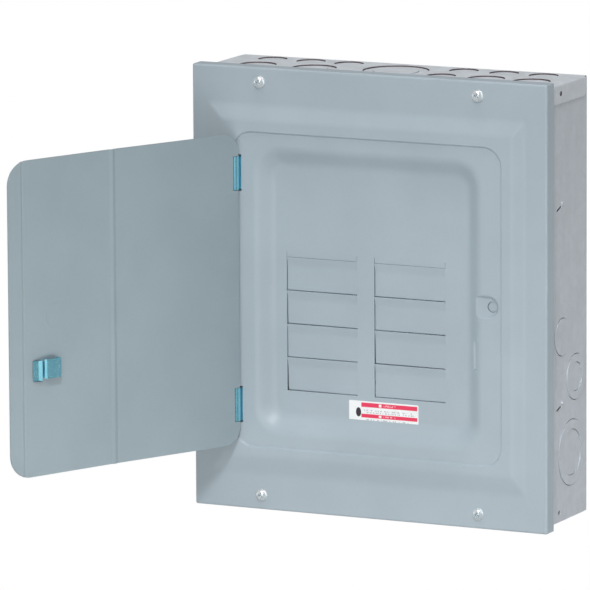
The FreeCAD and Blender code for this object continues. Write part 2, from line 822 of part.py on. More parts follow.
def make_blank(label, low_x, top):
    """One breaker blank: tied at its upper corners, stepped back below a short slope."""
    body = new_body(label)
    edge = -blank_gap / 4
    bottom = -pitch - edge
    step = floor_y + blank_step
    outline = polygon((floor_y, edge), (step, -blank_slope), (step, bottom),
                      (step + gauge, bottom), (step + gauge, -blank_slope),
                      (floor_y + gauge, edge))
    pad(body, "YZ", blank_gap, blank_width - blank_gap, outline)
    tie_outline = polygon((floor_y, edge), (floor_y + blank_step * blank_tie / blank_slope, -blank_tie),
                          (floor_y + gauge, -blank_tie), (floor_y + gauge, edge))
    pad(body, "YZ", 0, blank_width, tie_outline)
    bind(body, "Placement.Base.x", low_x)
    bind(body, "Placement.Base.z", top)
    return keep(label, body)


def make_cover_screws():
    """Hex washer head screws with a slot, through the cover into the end walls' flanges."""
    screws = []
    for x in (-screw_x, screw_x):
        for z in (-screw_z, screw_z):
            washer = rod("y", x, front_y - screw_washer, z, 4.4, screw_washer)
            screws.append(fuse(washer, slotted(x, front_y - screw_washer, z, 3.4, 2.4, 2.2, 12)))
    return keep("cover_screws", group(*screws))


def make_label():
    return keep("warning_label", block((label_left, label_right), (floor_y - label_thick, floor_y),
                                       (label_low, label_high)))


# ---------------------------------------------------------------- hinges, door and latch
def make_hinge(name, level):
    """A rolled knuckle with a strap that goes through the cover and lies behind it."""
    half = knuckle_length / 2
    low, high = about(level, half)
    barrel = rod("z", hinge_x, -hinge_out, low, knuckle_radius, knuckle_length)
    bore = rod("z", hinge_x, -hinge_out, low - 1, pin_radius + pin_clearance, knuckle_length + 2)
    strap_x = hinge_x + knuckle_radius
    behind = recess_y + gauge
    strap = block((strap_x - gauge, strap_x), (-hinge_out, behind + gauge), (low, high))
    foot = block((strap_x - gauge, strap_x + 8), (behind, behind + gauge), (low, high))
    keep("hinge_leaf_" + name, cut(fuse(barrel, strap, foot), bore))
    ear_end = half + end_play + door_sheet
    pin = rod("z", hinge_x, -hinge_out, level - ear_end - 1, pin_radius, ear_end * 2 + 1.2)
    head = rod("z", hinge_x, -hinge_out, level + ear_end + 0.2, pin_head, 0.8)
    keep("hinge_pin_" + name, fuse(pin, head))


def door_profile():
    """The folded sheet from the hinge edge over the crease to the flat lip."""
    rise = door_crown
    back = door_back
    front = door_back - door_sheet
    return polygon((door_edge, back), (crease_at, back - rise), (lip_at, back), (door_reach, back),
                   (door_reach, front), (lip_at, front), (crease_at, front - rise),
                   (door_edge, front))


def sheet_front_at(place):
    """Level of the door's outer face at a place between the crease and the lip."""
    fall = door_crown * (lip_at - place) / (lip_at - crease_at)
    return door_back - door_sheet - fall


def make_door_sheet():
    body = new_body("door_sheet")
    half = door_height / 2
    pad(body, "XY", -half, half, door_profile())
    for radius, free in ((door_corner, False), (door_free_corner, True)):
        round_edges(body, radius, lambda edge: runs_along(edge, Vector(0, 1, 0))
                    and (edge.CenterOfMass.x > crease_at.value) == free)
    return body


def make_ear(low):
    """A tab at one end of a hinge notch, round about the pin."""
    disc = rod("z", 0, 0, low, ear_radius, door_sheet)
    web = block((door_edge, ear_radius), (0, door_back - door_sheet / 2), (low, low + door_sheet))
    hole = rod("z", 0, 0, low - 1, pin_radius + pin_clearance, door_sheet + 2)
    return cut(fuse(disc, web), hole)


def make_door(sheet_body):
    tools = []
    ears = []
    reach = knuckle_length / 2 + end_play
    for level in (-hinge_z, hinge_z):
        tools.append(block((door_edge - 1, hinge_notch), (0, door_back + 1), about(level, reach)))
        ears.append(make_ear(level - reach - door_sheet))
        ears.append(make_ear(level + reach))
    tools.append(rod("y", lock_at, -4, 0, lock_radius, 12))
    tools.append(block((latch_stem - 5.8, latch_stem + 3.6), (-4, door_back + 2),
                       about(latch_z, thumb_half / 2)))
    return keep("door", on_hinge(fuse(cut(sheet_body, *tools), *ears)))


def make_door_knockout():
    """The disc of the lock hole, held by two ties and set slightly to the back."""
    level = sheet_front_at(lock_at) + 0.25
    disc = rod("y", lock_at, level, 0, lock_radius - 0.3, door_sheet)
    tie = common(block(about(lock_at, 12), (level, level + door_sheet), (-1, 1)),
                 rod("y", lock_at, level, 0, lock_radius, door_sheet))
    return keep("door_knockout", on_hinge(fuse(disc, tie)))


def make_latch_housing(sheet_body):
    """A folded strap on the door's back that guides the bolt."""
    body = new_body("latch_strap")
    seat = door_back - 1
    low, high = about(latch_z, strap_half)
    top = door_back + strap_rise
    under = top - strap_sheet
    outline = polygon((seat, low), (top, low), (top, high), (seat, high),
                      (seat, high - strap_sheet), (under, high - strap_sheet),
                      (under, low + strap_sheet), (seat, low + strap_sheet))
    pad(body, "YZ", strap_start, strap_end, outline)
    return keep("latch_housing", on_hinge(cut(body, sheet_body)))


def make_latch_bolt():
    """The sliding bolt: a nose that enters the strap, its tongue, and a thumb tab in front."""
    top = door_back + strap_rise - strap_sheet - latch_play
    half = strap_half - strap_sheet - latch_play
    nose = block((nose_start, nose_end), (door_back + latch_play, top), about(latch_z, half))
    tongue = block((latch_stem - 3.5, nose_start), (top - 1.6, top), about(latch_z, half - 0.6))
    front = sheet_front_at(latch_stem) - 0.6
    stem = block((latch_stem, latch_stem + 1.6), (front - 1, top - 1), about(latch_z, 2.6))
    thumb = block((latch_stem - 4.5, latch_stem + 5), (front - 1.8, front),
                  about(latch_z, thumb_half))
    return keep("latch_bolt", on_hinge(fuse(nose, tongue, stem, thumb)))


def make_latch_spring():
    """A small compression spring behind the tongue, inside the strap."""
    coil_radius, wire_radius, coil_pitch, coil_length = 1.2, 0.2, 0.85, 4.0
    coil = Part.makeHelix(coil_pitch, coil_length, coil_radius)
    section = Part.Wire([Part.makeCircle(wire_radius, Vector(coil_radius, 0, 0), Vector(0, 1, 0))])
    spring = Part.Wire(coil).makePipeShell([section], True, True)
    spring.rotate(Vector(), Vector(0, 1, 0), 90)
    start = strap_start.value + wire_radius + 0.4
    level = (door_back + strap_rise - strap_sheet - latch_play).value - coil_radius - wire_radius
    spring.translate(Vector(start, level, latch_z.value))
    item = doc.addObject("Part::Feature", "latch_spring")
    item.Shape = Part.makeCompound([spring])
    return keep("latch_spring", on_hinge(item))


# ---------------------------------------------------------------- build
make_wrapper()
make_top_wall()
make_bottom_wall()
knockouts("knockouts_top", END_KNOCKOUTS, top_disc, end_tie)
knockouts("knockouts_bottom", END_KNOCKOUTS, bottom_disc, end_tie)
knockouts("knockouts_left", SIDE_KNOCKOUTS, left_disc, side_tie)
knockouts("knockouts_right", SIDE_KNOCKOUTS, right_disc, side_tie)
make_tray()
make_rails()
make_insulator()
make_bus_bar("a", -1, (0, 2))
make_bus_bar("b", 1, (1, 3))
keep("lug_set_screws", group(make_line_lug("a", -1), make_line_lug("b", 1)))
make_neutral()
make_cover()
make_cover_knockout()
for row in range(ROWS):
    level = blank_top - pitch * row
    make_blank("twistout_left_%d" % (row + 1), bus_x - blank_web / 2 - blank_width, level)
    make_blank("twistout_right_%d" % (row + 1), bus_x + blank_web / 2, level)
make_cover_screws()
make_label()
make_hinge("upper", hinge_z)
make_hinge("lower", -hinge_z)
door_sheet_body = make_door_sheet()
make_door(door_sheet_body)
make_door_knockout()
make_latch_housing(door_sheet_body)
make_latch_bolt()
make_latch_spring()
doc.recompute()

# ---------------------------------------------------------------- tests and writing
faults = [item.Name for item in doc.Objects if "Invalid" in item.State or "Error" in item.State]
if faults:
    raise SystemExit("failed objects: %s" % ", ".join(faults))
for label, item in nodes.items():
    if item.Shape.isNull() or not item.Shape.isValid() or not item.Shape.Solids:
        raise SystemExit("bad shape: " + label)
for body, feature in pockets:
    before = feature.BaseFeature.Shape.Volume
    if feature.Shape.Volume > before - 0.01:
        raise SystemExit("a pocket cuts nothing in " + body.Label)

os.makedirs("parts", exist_ok=True)
for label, item in nodes.items():
    item.Shape.exportStep("parts/%s.step" % label)
    print("%-22s %8.0f mm3  %d solid(s)" % (label, item.Shape.Volume, len(item.Shape.Solids)))
print(len(nodes), "nodes")
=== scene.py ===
# %% [markdown]
# # A load center with its door open
# A load center is the grey steel box that holds a home's circuit breakers. A galvanized box
# screws to the wall, a painted cover closes it, and a thin door swings on two zinc hinges.
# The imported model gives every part's place and every joint; this file gives the parts their
# pressed, folded and plated looks. Lengths below are millimetres unless a name says otherwise.

# %% Load the frame
import bmesh
import bpy
import json
from math import cos, pi, radians, sin
from mathutils import Matrix, Vector

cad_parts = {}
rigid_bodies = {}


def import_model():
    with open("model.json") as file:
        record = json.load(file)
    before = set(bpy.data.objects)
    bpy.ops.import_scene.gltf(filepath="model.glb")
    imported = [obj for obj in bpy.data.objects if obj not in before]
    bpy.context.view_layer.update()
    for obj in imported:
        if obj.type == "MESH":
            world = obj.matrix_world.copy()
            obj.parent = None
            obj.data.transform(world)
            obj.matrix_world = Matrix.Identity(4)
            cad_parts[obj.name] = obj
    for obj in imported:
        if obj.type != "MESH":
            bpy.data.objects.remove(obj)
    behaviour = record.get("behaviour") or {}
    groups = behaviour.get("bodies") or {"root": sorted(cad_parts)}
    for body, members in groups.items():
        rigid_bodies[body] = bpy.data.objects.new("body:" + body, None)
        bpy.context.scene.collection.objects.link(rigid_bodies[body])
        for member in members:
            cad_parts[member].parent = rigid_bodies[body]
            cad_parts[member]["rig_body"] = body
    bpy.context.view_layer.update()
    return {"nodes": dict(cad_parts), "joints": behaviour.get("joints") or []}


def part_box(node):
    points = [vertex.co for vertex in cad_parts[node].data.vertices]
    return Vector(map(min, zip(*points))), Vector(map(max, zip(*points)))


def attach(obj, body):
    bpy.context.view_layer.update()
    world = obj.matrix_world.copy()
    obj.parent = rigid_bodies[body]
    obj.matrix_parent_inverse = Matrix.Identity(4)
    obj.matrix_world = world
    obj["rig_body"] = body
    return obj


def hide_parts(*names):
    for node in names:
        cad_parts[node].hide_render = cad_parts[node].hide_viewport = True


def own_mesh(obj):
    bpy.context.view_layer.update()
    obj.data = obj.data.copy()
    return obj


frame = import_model()
MM = 0.001


def place_of(node):
    """Lowest and highest corner of a CAD part, in millimetres."""
    low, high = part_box(node)
    return low / MM, high / MM


joints = {joint["name"]: joint for joint in frame["joints"]}

# %% [markdown]
# ## Tools for sheet metal
# Nearly every piece here is one sheet, cut, folded or pressed. So each is drawn as a single
# skin, the face you would touch, and a Solidify modifier gives it the gauge of the real sheet.
# A narrow Bevel then breaks the cut edges, because a real edge is never a perfect corner and
# the small light line along it is what makes it look like metal. Weighted normals keep the
# flat areas flat where they meet a rounded bend.

# %% Helpers that turn a skin into a finished piece
GAUGE = 1.2
DEFAULT_BREAK = 0.18
SHARP = radians(38)


def verts_in(items):
    return [item for item in items if isinstance(item, bmesh.types.BMVert)]


def edges_in(items):
    return [item for item in items if isinstance(item, bmesh.types.BMEdge)]


def quarter_turn(steps):
    """Evenly spaced angles from 0 to a right angle."""
    return [pi / 2 * step / steps for step in range(steps + 1)]


def looks_towards(bm, direction):
    """Turn the skin so that most of its area faces a direction."""
    bmesh.ops.recalc_face_normals(bm, faces=bm.faces)
    total = sum((face.normal * face.calc_area() for face in bm.faces), Vector())
    if total.dot(Vector(direction)) < 0:
        bmesh.ops.reverse_faces(bm, faces=bm.faces)


def object_of(name, bm, unit=MM):
    """Make a plain object of a bmesh, which is used up."""
    bmesh.ops.scale(bm, vec=(unit, unit, unit), verts=bm.verts)
    mesh = bpy.data.meshes.new(name)
    bm.to_mesh(mesh)
    bm.free()
    made = bpy.data.objects.new(name, mesh)
    bpy.context.scene.collection.objects.link(made)
    return made


def finish_piece(name, bm, body, material, replaces=(), place=None, gauge=0.0, edge=DEFAULT_BREAK,
                 steps=2, rim=None):
    """Make an object of a bmesh drawn in millimetres, and tell the frame what it is."""
    if place is not None:
        bmesh.ops.transform(bm, matrix=place, verts=bm.verts)
    for face in bm.faces:
        face.smooth = True
    piece = object_of(name, bm)
    mesh = piece.data
    mesh.materials.append(material)
    if gauge:
        solid = piece.modifiers.new("gauge", "SOLIDIFY")
        solid.thickness = gauge * MM
        solid.offset = -1
        solid.use_even_offset = True
        if rim is not None:
            mesh.materials.append(rim)
            solid.material_offset_rim = 1
    if edge:
        bevel = piece.modifiers.new("broken edge", "BEVEL")
        bevel.width = edge * MM
        bevel.segments = steps
        bevel.limit_method = "ANGLE"
        bevel.angle_limit = SHARP
        bevel.use_clamp_overlap = True
    weights = piece.modifiers.new("flat faces", "WEIGHTED_NORMAL")
    weights.keep_sharp = True
    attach(piece, body)
    if replaces:
        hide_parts(*replaces)
    return piece


def rounded_path(points, radius, steps=6):
    """A line through points with each inner corner turned as an arc."""
    path = [Vector(points[0])]
    for before, corner, after in zip(points, points[1:], points[2:]):
        corner = Vector(corner)
        back = (Vector(before) - corner).normalized()
        ahead = (Vector(after) - corner).normalized()
        half = back.angle(ahead) / 2
        middle = corner + (back + ahead).normalized() * radius / sin(half)
        start = corner + back * radius / (sin(half) / cos(half)) - middle
        total = pi - half * 2
        sign = 1.0 if (back.x * ahead.y - back.y * ahead.x) < 0 else -1.0
        for step in range(steps + 1):
            angle = sign * total * step / steps
            path.append(middle + Matrix.Rotation(angle, 2) @ start)
    path.append(Vector(points[-1]))
    return path


def fold(bm, path, low, high, lift):
    """Draw a folded strip: a path in a plane, drawn out from low to high along the third axis."""
    verts = [bm.verts.new(lift(point, low)) for point in path]
    edges = [bm.edges.new(pair) for pair in zip(verts, verts[1:])]
    made = bmesh.ops.extrude_edge_only(bm, edges=edges)["geom"]
    shift = lift(path[0], high) - lift(path[0], low)
    bmesh.ops.translate(bm, verts=verts_in(made), vec=shift)


def loop_of(bm, points):
    verts = [bm.verts.new(point) for point in points]
    return [bm.edges.new((one, two)) for one, two in zip(verts, verts[1:] + verts[:1])]


def panel(bm, outline, holes, normal):
    """Fill a flat outline that has holes; outline and holes are lists of points."""
    edges = loop_of(bm, outline)
    for hole in holes:
        edges += loop_of(bm, hole)
    bmesh.ops.triangle_fill(bm, use_beauty=True, edges=edges, normal=Vector(normal))


def round_hole(u, v, radius, lift, steps=56, start=0.0):
    turns = [start + 2 * pi * step / steps for step in range(steps)]
    return [lift(u + radius * cos(turn), v + radius * sin(turn)) for turn in turns]


def weld(bm):
    bmesh.ops.remove_doubles(bm, verts=bm.verts, dist=0.01)


def raise_outline(bm, points, height):
    """Make a solid of a flat outline by raising it along Z."""
    face = bm.faces.new([bm.verts.new(point) for point in points])
    made = bmesh.ops.extrude_face_region(bm, geom=[face])["geom"]
    bmesh.ops.translate(bm, verts=verts_in(made), vec=(0, 0, height))


def turned(bm, points, centre, axis, steps):
    """Spin a half section round an axis into a closed solid."""
    verts = [bm.verts.new(point) for point in points]
    edges = [bm.edges.new(pair) for pair in zip(verts, verts[1:])]
    bmesh.ops.spin(bm, geom=verts + edges, cent=centre, axis=axis, angle=2 * pi, steps=steps,
                   use_merge=True)
    weld(bm)
    bmesh.ops.recalc_face_normals(bm, faces=bm.faces)


def flat_disc(bm, x, z, radius, segments):
    turn = Matrix.Translation((x, 0, z)) @ Matrix.Rotation(pi / 2, 4, "X")
    bmesh.ops.create_circle(bm, cap_ends=True, segments=segments, radius=radius, matrix=turn)


def carve(piece, cutter, position, settled, overlapping=False):
    """Cut one object out of another, and apply the named modifiers and the cut."""
    cut = piece.modifiers.new("cut", "BOOLEAN")
    cut.object = cutter
    cut.solver = "EXACT"
    cut.use_self = overlapping
    piece.modifiers.move(len(piece.modifiers) - 1, position)
    with bpy.context.temp_override(object=piece, active_object=piece):
        for name in (*settled, "cut"):
            bpy.ops.object.modifier_apply(modifier=name)
    bpy.data.objects.remove(cutter)


print("sheet tools ready")

# %% [markdown]
# ## Finishes
# Three finishes carry the look. The cover and door wear a grey baked enamel with the faint
# orange peel of sprayed paint; the door's copy of it is painted darker, as painted shade on the
# open door. The box is galvanized: zinc that froze in flat crystals called spangle, dulled by
# handling; the end walls' copy is painted lighter, as painted light on the bright top wall.
# Screws, hinges and latch are bright zinc plate with a cold blue passivation. Where a wall is
# sheared the bare steel shows dark, and its colour is made darker still as painted shade in the
# rims of the knockout holes. The dust and scuff mask is shared, so it is one node group that
# each material uses with its own amounts.

# %% Node helpers and the shared groups
def new_material(name, metallic=0.0, roughness=0.5, coat=0.0):
    material = bpy.data.materials.new(name)
    material.use_nodes = True
    nodes = material.node_tree.nodes
    shader = nodes["Principled BSDF"]
    shader.inputs["Metallic"].default_value = metallic
    shader.inputs["Roughness"].default_value = roughness
    shader.inputs["Coat Weight"].default_value = coat
    shader.inputs["Coat Roughness"].default_value = 0.25
    return material, material.node_tree, shader


def add(tree, kind, **settings):
    node = tree.nodes.new(kind)
    for key, value in settings.items():
        setattr(node, key, value)
    return node


def object_coordinates(tree, scale=(1, 1, 1)):
    coordinates = add(tree, "ShaderNodeTexCoord")
    mapping = add(tree, "ShaderNodeMapping")
    mapping.inputs["Scale"].default_value = scale
    tree.links.new(coordinates.outputs["Object"], mapping.inputs["Vector"])
    return mapping.outputs["Vector"]


def noise(tree, vector, scale, detail=3.0, roughness=0.55):
    node = add(tree, "ShaderNodeTexNoise")
    node.inputs["Scale"].default_value = scale
    node.inputs["Detail"].default_value = detail
    node.inputs["Roughness"].default_value = roughness
    tree.links.new(vector, node.inputs["Vector"])
    return node.outputs["Fac"]


def remap(tree, value, low, high, new_low, new_high):
    node = add(tree, "ShaderNodeMapRange")
    for name, number in (("From Min", low), ("From Max", high), ("To Min", new_low), ("To Max", new_high)):
        node.inputs[name].default_value = number
    tree.links.new(value, node.inputs["Value"])
    return node.outputs["Result"]


def mixed(tree, fac, one, two):
    """Blend two colours, or a socket and a colour, by a mask."""
    node = add(tree, "ShaderNodeMix", data_type="RGBA")
    tree.links.new(fac, node.inputs[0])
    for socket, colour in ((node.inputs[6], one), (node.inputs[7], two)):
        if isinstance(colour, bpy.types.NodeSocket):
            tree.links.new(colour, socket)
        else:
            socket.default_value = (*colour, 1.0)
    return node.outputs[2]


def bump(tree, shader, height, strength, distance):
    node = add(tree, "ShaderNodeBump")
    node.inputs["Strength"].default_value = strength
    node.inputs["Distance"].default_value = distance
    tree.links.new(height, node.inputs["Height"])
    tree.links.new(node.outputs["Normal"], shader.inputs["Normal"])


def build_wear_group():
    """Cloudy handling marks and fine specks: a mask for colour and one for roughness."""
    tree = bpy.data.node_groups.new("handling marks", "ShaderNodeTree")
    for name, side in (("Cloud size", "INPUT"), ("Speck size", "INPUT"),
                       ("Clouds", "OUTPUT"), ("Specks", "OUTPUT")):
        tree.interface.new_socket(name, in_out=side, socket_type="NodeSocketFloat")
    source = add(tree, "NodeGroupInput")
    result = add(tree, "NodeGroupOutput")
    vector = add(tree, "ShaderNodeTexCoord").outputs["Object"]
    layers = ((4.0, 0.35, 0.65), (2.0, 0.55, 0.75))
    for index, (detail, low, high) in enumerate(layers):
        texture = add(tree, "ShaderNodeTexNoise")
        texture.inputs["Detail"].default_value = detail
        tree.links.new(vector, texture.inputs["Vector"])
        tree.links.new(source.outputs[index], texture.inputs["Scale"])
        spread = remap(tree, texture.outputs["Fac"], low, high, 0.0, 1.0)
        tree.links.new(spread, result.inputs[index])
    return tree


handling_marks = build_wear_group()


def marks(tree, cloud_size, speck_size):
    """Place the shared group; sizes are in millimetres."""
    node = add(tree, "ShaderNodeGroup", node_tree=handling_marks)
    node.inputs["Cloud size"].default_value = 1 / (cloud_size * MM)
    node.inputs["Speck size"].default_value = 1 / (speck_size * MM)
    return node.outputs["Clouds"], node.outputs["Specks"]


def enamel(name, light, dark, roughness=(0.34, 0.42)):
    material, tree, shader = new_material(name, coat=0.25)
    clouds, specks = marks(tree, 55, 2.2)
    body = mixed(tree, clouds, dark, light)
    speckled = mixed(tree, remap(tree, specks, 0, 1, 0.0, 0.16), body, tuple(c * 0.86 for c in dark))
    tree.links.new(speckled, shader.inputs["Base Color"])
    tree.links.new(remap(tree, clouds, 0, 1, *roughness), shader.inputs["Roughness"])
    peel = noise(tree, object_coordinates(tree), 1 / (1.6 * MM), 2.0)
    bump(tree, shader, peel, 0.16, 0.00012)
    return material


def galvanized(name, light, dark, streak=(1, 1, 0.18)):
    material, tree, shader = new_material(name, metallic=0.45)
    clouds, specks = marks(tree, 38, 1.5)
    vector = object_coordinates(tree)
    spangle = add(tree, "ShaderNodeTexVoronoi", feature="F1")
    spangle.inputs["Scale"].default_value = 1 / (5.5 * MM)
    tree.links.new(vector, spangle.inputs["Vector"])
    separate = add(tree, "ShaderNodeSeparateColor")
    tree.links.new(spangle.outputs["Color"], separate.inputs["Color"])
    drawn = noise(tree, object_coordinates(tree, streak), 1 / (9 * MM), 3.0)
    spread = add(tree, "ShaderNodeMath", operation="MULTIPLY_ADD")
    tree.links.new(separate.outputs[0], spread.inputs[0])
    spread.inputs[1].default_value = 0.22
    tree.links.new(remap(tree, drawn, 0.3, 0.7, 0.2, 0.45), spread.inputs[2])
    crystal = mixed(tree, spread.outputs[0], dark, light)
    hazed = mixed(tree, remap(tree, clouds, 0, 1, 0.0, 0.12), crystal, tuple(c * 0.82 for c in dark))
    tree.links.new(hazed, shader.inputs["Base Color"])
    tree.links.new(remap(tree, separate.outputs[1], 0, 1, 0.36, 0.52), shader.inputs["Roughness"])
    bump(tree, shader, specks, 0.10, 0.00008)
    return material


def clouded(name, light, dark, roughness, metallic, sizes, dents):
    """A finish whose colour and roughness drift between two values, over fine dents."""
    material, tree, shader = new_material(name, metallic=metallic)
    clouds, specks = marks(tree, *sizes)
    tree.links.new(mixed(tree, clouds, dark, light), shader.inputs["Base Color"])
    tree.links.new(remap(tree, clouds, 0, 1, *roughness), shader.inputs["Roughness"])
    bump(tree, shader, specks, *dents)
    return material


def plated(name, light, dark, roughness=(0.16, 0.30), metallic=1.0):
    return clouded(name, light, dark, roughness, metallic, (6, 0.8), (0.06, 0.00004))


def moulded(name, light, dark, roughness=(0.38, 0.52), metallic=0.0):
    return clouded(name, light, dark, roughness, metallic, (14, 0.6), (0.12, 0.00005))


# %% The finishes themselves
cover_enamel = enamel("cover enamel", (0.380, 0.450, 0.498), (0.360, 0.427, 0.473))
# the door's enamel is the cover's paint made darker: painted shade for the open door
door_enamel_shaded = enamel("door enamel with painted shade", (0.290, 0.360, 0.394), (0.272, 0.338, 0.372))
box_zinc = galvanized("galvanized box", (0.80, 0.86, 0.92), (0.62, 0.67, 0.72))
# the end walls' zinc is the box's zinc made lighter: painted light, as on the bright up-facing top wall
end_zinc_lit = galvanized("galvanized end with painted light", (0.88, 0.93, 0.99), (0.70, 0.75, 0.80), streak=(0.18, 1, 1))
bright_zinc = plated("blue zinc plate", (0.37, 0.84, 1.0), (0.30, 0.77, 0.96), (0.14, 0.20), 0.85)
screw_zinc = plated("screw zinc plate", (0.92, 0.95, 0.97), (0.76, 0.86, 0.90), (0.16, 0.26), 0.6)
# bare steel is darker than zinc, and this colour is darker still: painted shade in the rims of the knockout
# holes
cut_steel_and_shade = moulded("sheared steel edge with painted shade", (0.17, 0.13, 0.13), (0.12, 0.09, 0.10), (0.45, 0.60), 0.4)
spring_wire = plated("spring wire", (0.62, 0.64, 0.66), (0.50, 0.52, 0.55))
black_mould = moulded("black moulding", (0.030, 0.031, 0.034), (0.020, 0.021, 0.023))
tinned = moulded("tin plate", (0.74, 0.75, 0.75), (0.64, 0.65, 0.66), (0.24, 0.40), 1.0)
lug_metal = moulded("extruded lug", (0.70, 0.71, 0.72), (0.60, 0.61, 0.63), (0.30, 0.45), 1.0)
green_dye = moulded("green bonding screw", (0.04, 0.30, 0.10), (0.03, 0.22, 0.08), (0.25, 0.4), 0.6)
print("finishes:", len(bpy.data.materials))

# %% [markdown]
# ## The drawn cover
# The cover is one sheet pressed in steps: a flat rim with a return all round, a gentle slope up
# to a raised panel, a shallow recess that the door shuts into, and a deep pan with the breaker
# blanks. A press leaves every wall as a soft ramp. It is drawn here as one loop of vertices that
# is extruded inward again and again, each time moved to the next line of the drawing, so that
# every bend is a few close rings and every flat is one wide one. A loop's vertices remember
# their corner and angle, and a few more stand on the sides where a slot or channel needs them.

# %% The lines of the cover
cover_low, cover_high = place_of("cover")
blank_low, blank_high = place_of("twistout_left_1")
last_low, last_high = place_of("twistout_right_4")
pin_low, pin_high = place_of("hinge_leaf_upper")
RAISE, RECESS, PAN = 3.85, 1.5, 7.45
panel_y = cover_low.y
front_y = panel_y + RAISE
recess_y = panel_y + RECESS
floor_y = recess_y + PAN
RETURN_BEND = 1.7
CORNER_STEPS = 9


def lines(left, right, low, high, corner, level):
    """One line of the drawing: the sides of a rectangle, its corner radius and its depth."""
    return (left, right, low, high, corner, level)


def even(half_x, half_z, corner, level):
    return lines(-half_x, half_x, -half_z, half_z, corner, level)


def blend_lines(one, two, share, level):
    sides = [a + (b - a) * share for a, b in zip(one[:5], two[:5])]
    return (*sides, level)


def soft_ramp(share, soft):
    """A straight ramp from 0 to 1 whose two ends are eased over a width."""
    if share > 0.5:
        return 1 - soft_ramp(1 - share, soft)
    if share <= -soft:
        return 0.0
    return share if share >= soft else (share + soft) ** 2 / (4 * soft)


def pressed(one, two, soft, steps, extra=()):
    """The rings of a pressed wall between two lines."""
    shares = [-soft + (1 + 2 * soft) * step / steps for step in range(steps + 1)]
    shares = sorted(shares + list(extra))
    drop = two[5] - one[5]
    return [blend_lines(one, two, share, one[5] + drop * soft_ramp(share, soft)) for share in shares]


HINGE_SLOT = (-106.0, -103.5)
hinge_stops = [sign * (abs(pin_low.z + pin_high.z) / 2 + side * 13.8) for sign in (-1, 1) for side in (-1, 1)]
strike_slot = {"x": (81.6, 88.0), "z": (-48.3, -26.6)}
channel_stops = [side * (0.7 * step) for side in (-1, 1) for step in range(1, 17)] + [0.0]
left_stops = sorted(hinge_stops)
strike_stops = [edge + side * step for edge, side in zip(strike_slot["z"], (1, -1))
                for step in (0, 0.45, 1.0)]
right_stops = sorted(channel_stops + strike_stops)


def ring_places():
    """Every vertex of a ring, in order: a corner with an angle, or a stop on a side."""
    places = []
    for corner, (side_x, side_z) in enumerate(((1, -1), (1, 1), (-1, 1), (-1, -1))):
        for step in range(CORNER_STEPS + 1):
            turn = (corner - 1) * pi / 2 + step / CORNER_STEPS * pi / 2
            places.append(("corner", side_x, side_z, turn))
        if corner == 0:
            places += [("stop", 1, height, 0) for height in right_stops]
        if corner == 2:
            places += [("stop", -1, height, 0) for height in reversed(left_stops)]
    return places


PLACES = ring_places()


def ring_point(place, line):
    kind, side_x, second, turn = place
    left, right, low, high, corner, level = line
    x = right if side_x > 0 else left
    if kind == "stop":
        return Vector((x, level, min(max(second, low + corner + 0.4), high - corner - 0.4)))
    z = high if second > 0 else low
    return Vector((x - side_x * corner + corner * cos(turn), level, z - second * corner + corner * sin(turn)))


def draw_rings(bm, drawing):
    """Extrude a loop through every line of the drawing and return the last loop's edges."""
    index = bm.verts.layers.int.new("place")
    edges = loop_of(bm, [ring_point(place, drawing[0]) for place in PLACES])
    bm.verts.ensure_lookup_table()
    for number in range(len(PLACES)):
        bm.verts[number][index] = number
    for line in drawing[1:]:
        made = bmesh.ops.extrude_edge_only(bm, edges=edges)["geom"]
        edges = edges_in(made)
        for vert in verts_in(made):
            vert.co = ring_point(PLACES[vert[index]], line)
    return edges


# %% The drawing, from the back of the return to the pan's floor
half_x, half_z = cover_high.x, cover_high.z
band = even(half_x, half_z, 1.2, cover_high.y)
slope_foot = lines(-131.5, 127.0, -140.5, 139.5, 2.0, front_y)
slope_head = lines(-119.5, 118.0, -126.5, 128.5, 2.0, panel_y)
recess_edge = even(109.9, 120.0, 15.0, panel_y)
recess_foot = even(109.0, 119.1, 14.2, recess_y)
shoulder = even(91.0, 107.3, 19.0, recess_y)
pan_foot = even(80.4, 95.5, 11.0, floor_y)

drawing = [band]
for turn in quarter_turn(6):
    inset = RETURN_BEND * (1 - cos(turn))
    level = front_y + RETURN_BEND * (1 - sin(turn))
    drawing.append(even(half_x - inset, half_z - inset, 1.3, level))
drawing += pressed(slope_foot, slope_head, 0.20, 16)
drawing += pressed(recess_edge, recess_foot, 0.35, 8)
slot_line = even(-HINGE_SLOT[1], 115.0, 11.5, recess_y)
flat_steps = int((recess_foot[1] + HINGE_SLOT[1]) / 0.5) + 1
for step in range(1, flat_steps + 1):
    place = recess_foot[1] - 0.5 * step
    share = (recess_foot[1] - place) / (recess_foot[1] - slot_line[1])
    drawing.append(blend_lines(recess_foot, slot_line, min(share, 1.0), recess_y))
inner_flat = blend_lines(shoulder, pan_foot, -0.32, recess_y)
for step in range(1, 19):
    drawing.append(blend_lines(slot_line, inner_flat, step / 19, recess_y))
slot_shares = [(91.0 - edge) / (91.0 - 80.4) for edge in strike_slot["x"]]
drawing += pressed(shoulder, pan_foot, 0.30, 22, slot_shares)
print("rings in the cover:", len(drawing), "vertices in each:", len(PLACES))

# %% [markdown]
# The latch channel runs from the pan to a round end in the recess. Pressing it is a move of
# vertices: any point inside the channel's outline is pushed back to the channel's depth, unless
# the pan has already taken it further, and the latch's strike pocket is pressed the same way.
# The two hinge slots are the faces between known lines, so they are simply deleted. Each column
# of blanks is one opening in the floor, and the lip over the top blank is bent back a little, as
# the cutting die leaves it.

# %% Press the cover
CHANNEL_DEPTH, CHANNEL_RADIUS, CHANNEL_END = 2.5, 8.3, 98.6
CHANNEL_WALL, CHANNEL_EASE = 1.8, 0.35
CHANNEL_START, CHANNEL_SIDE = 78, 14
STRIKE_DEPTH = 4.3
LIP_HEIGHT, LIP_BEND = 4.6, 0.35
column_edges = ((blank_low.x, blank_high.x), (last_low.x, last_high.x))
top_cut, bottom_cut = blank_high.z, last_low.z


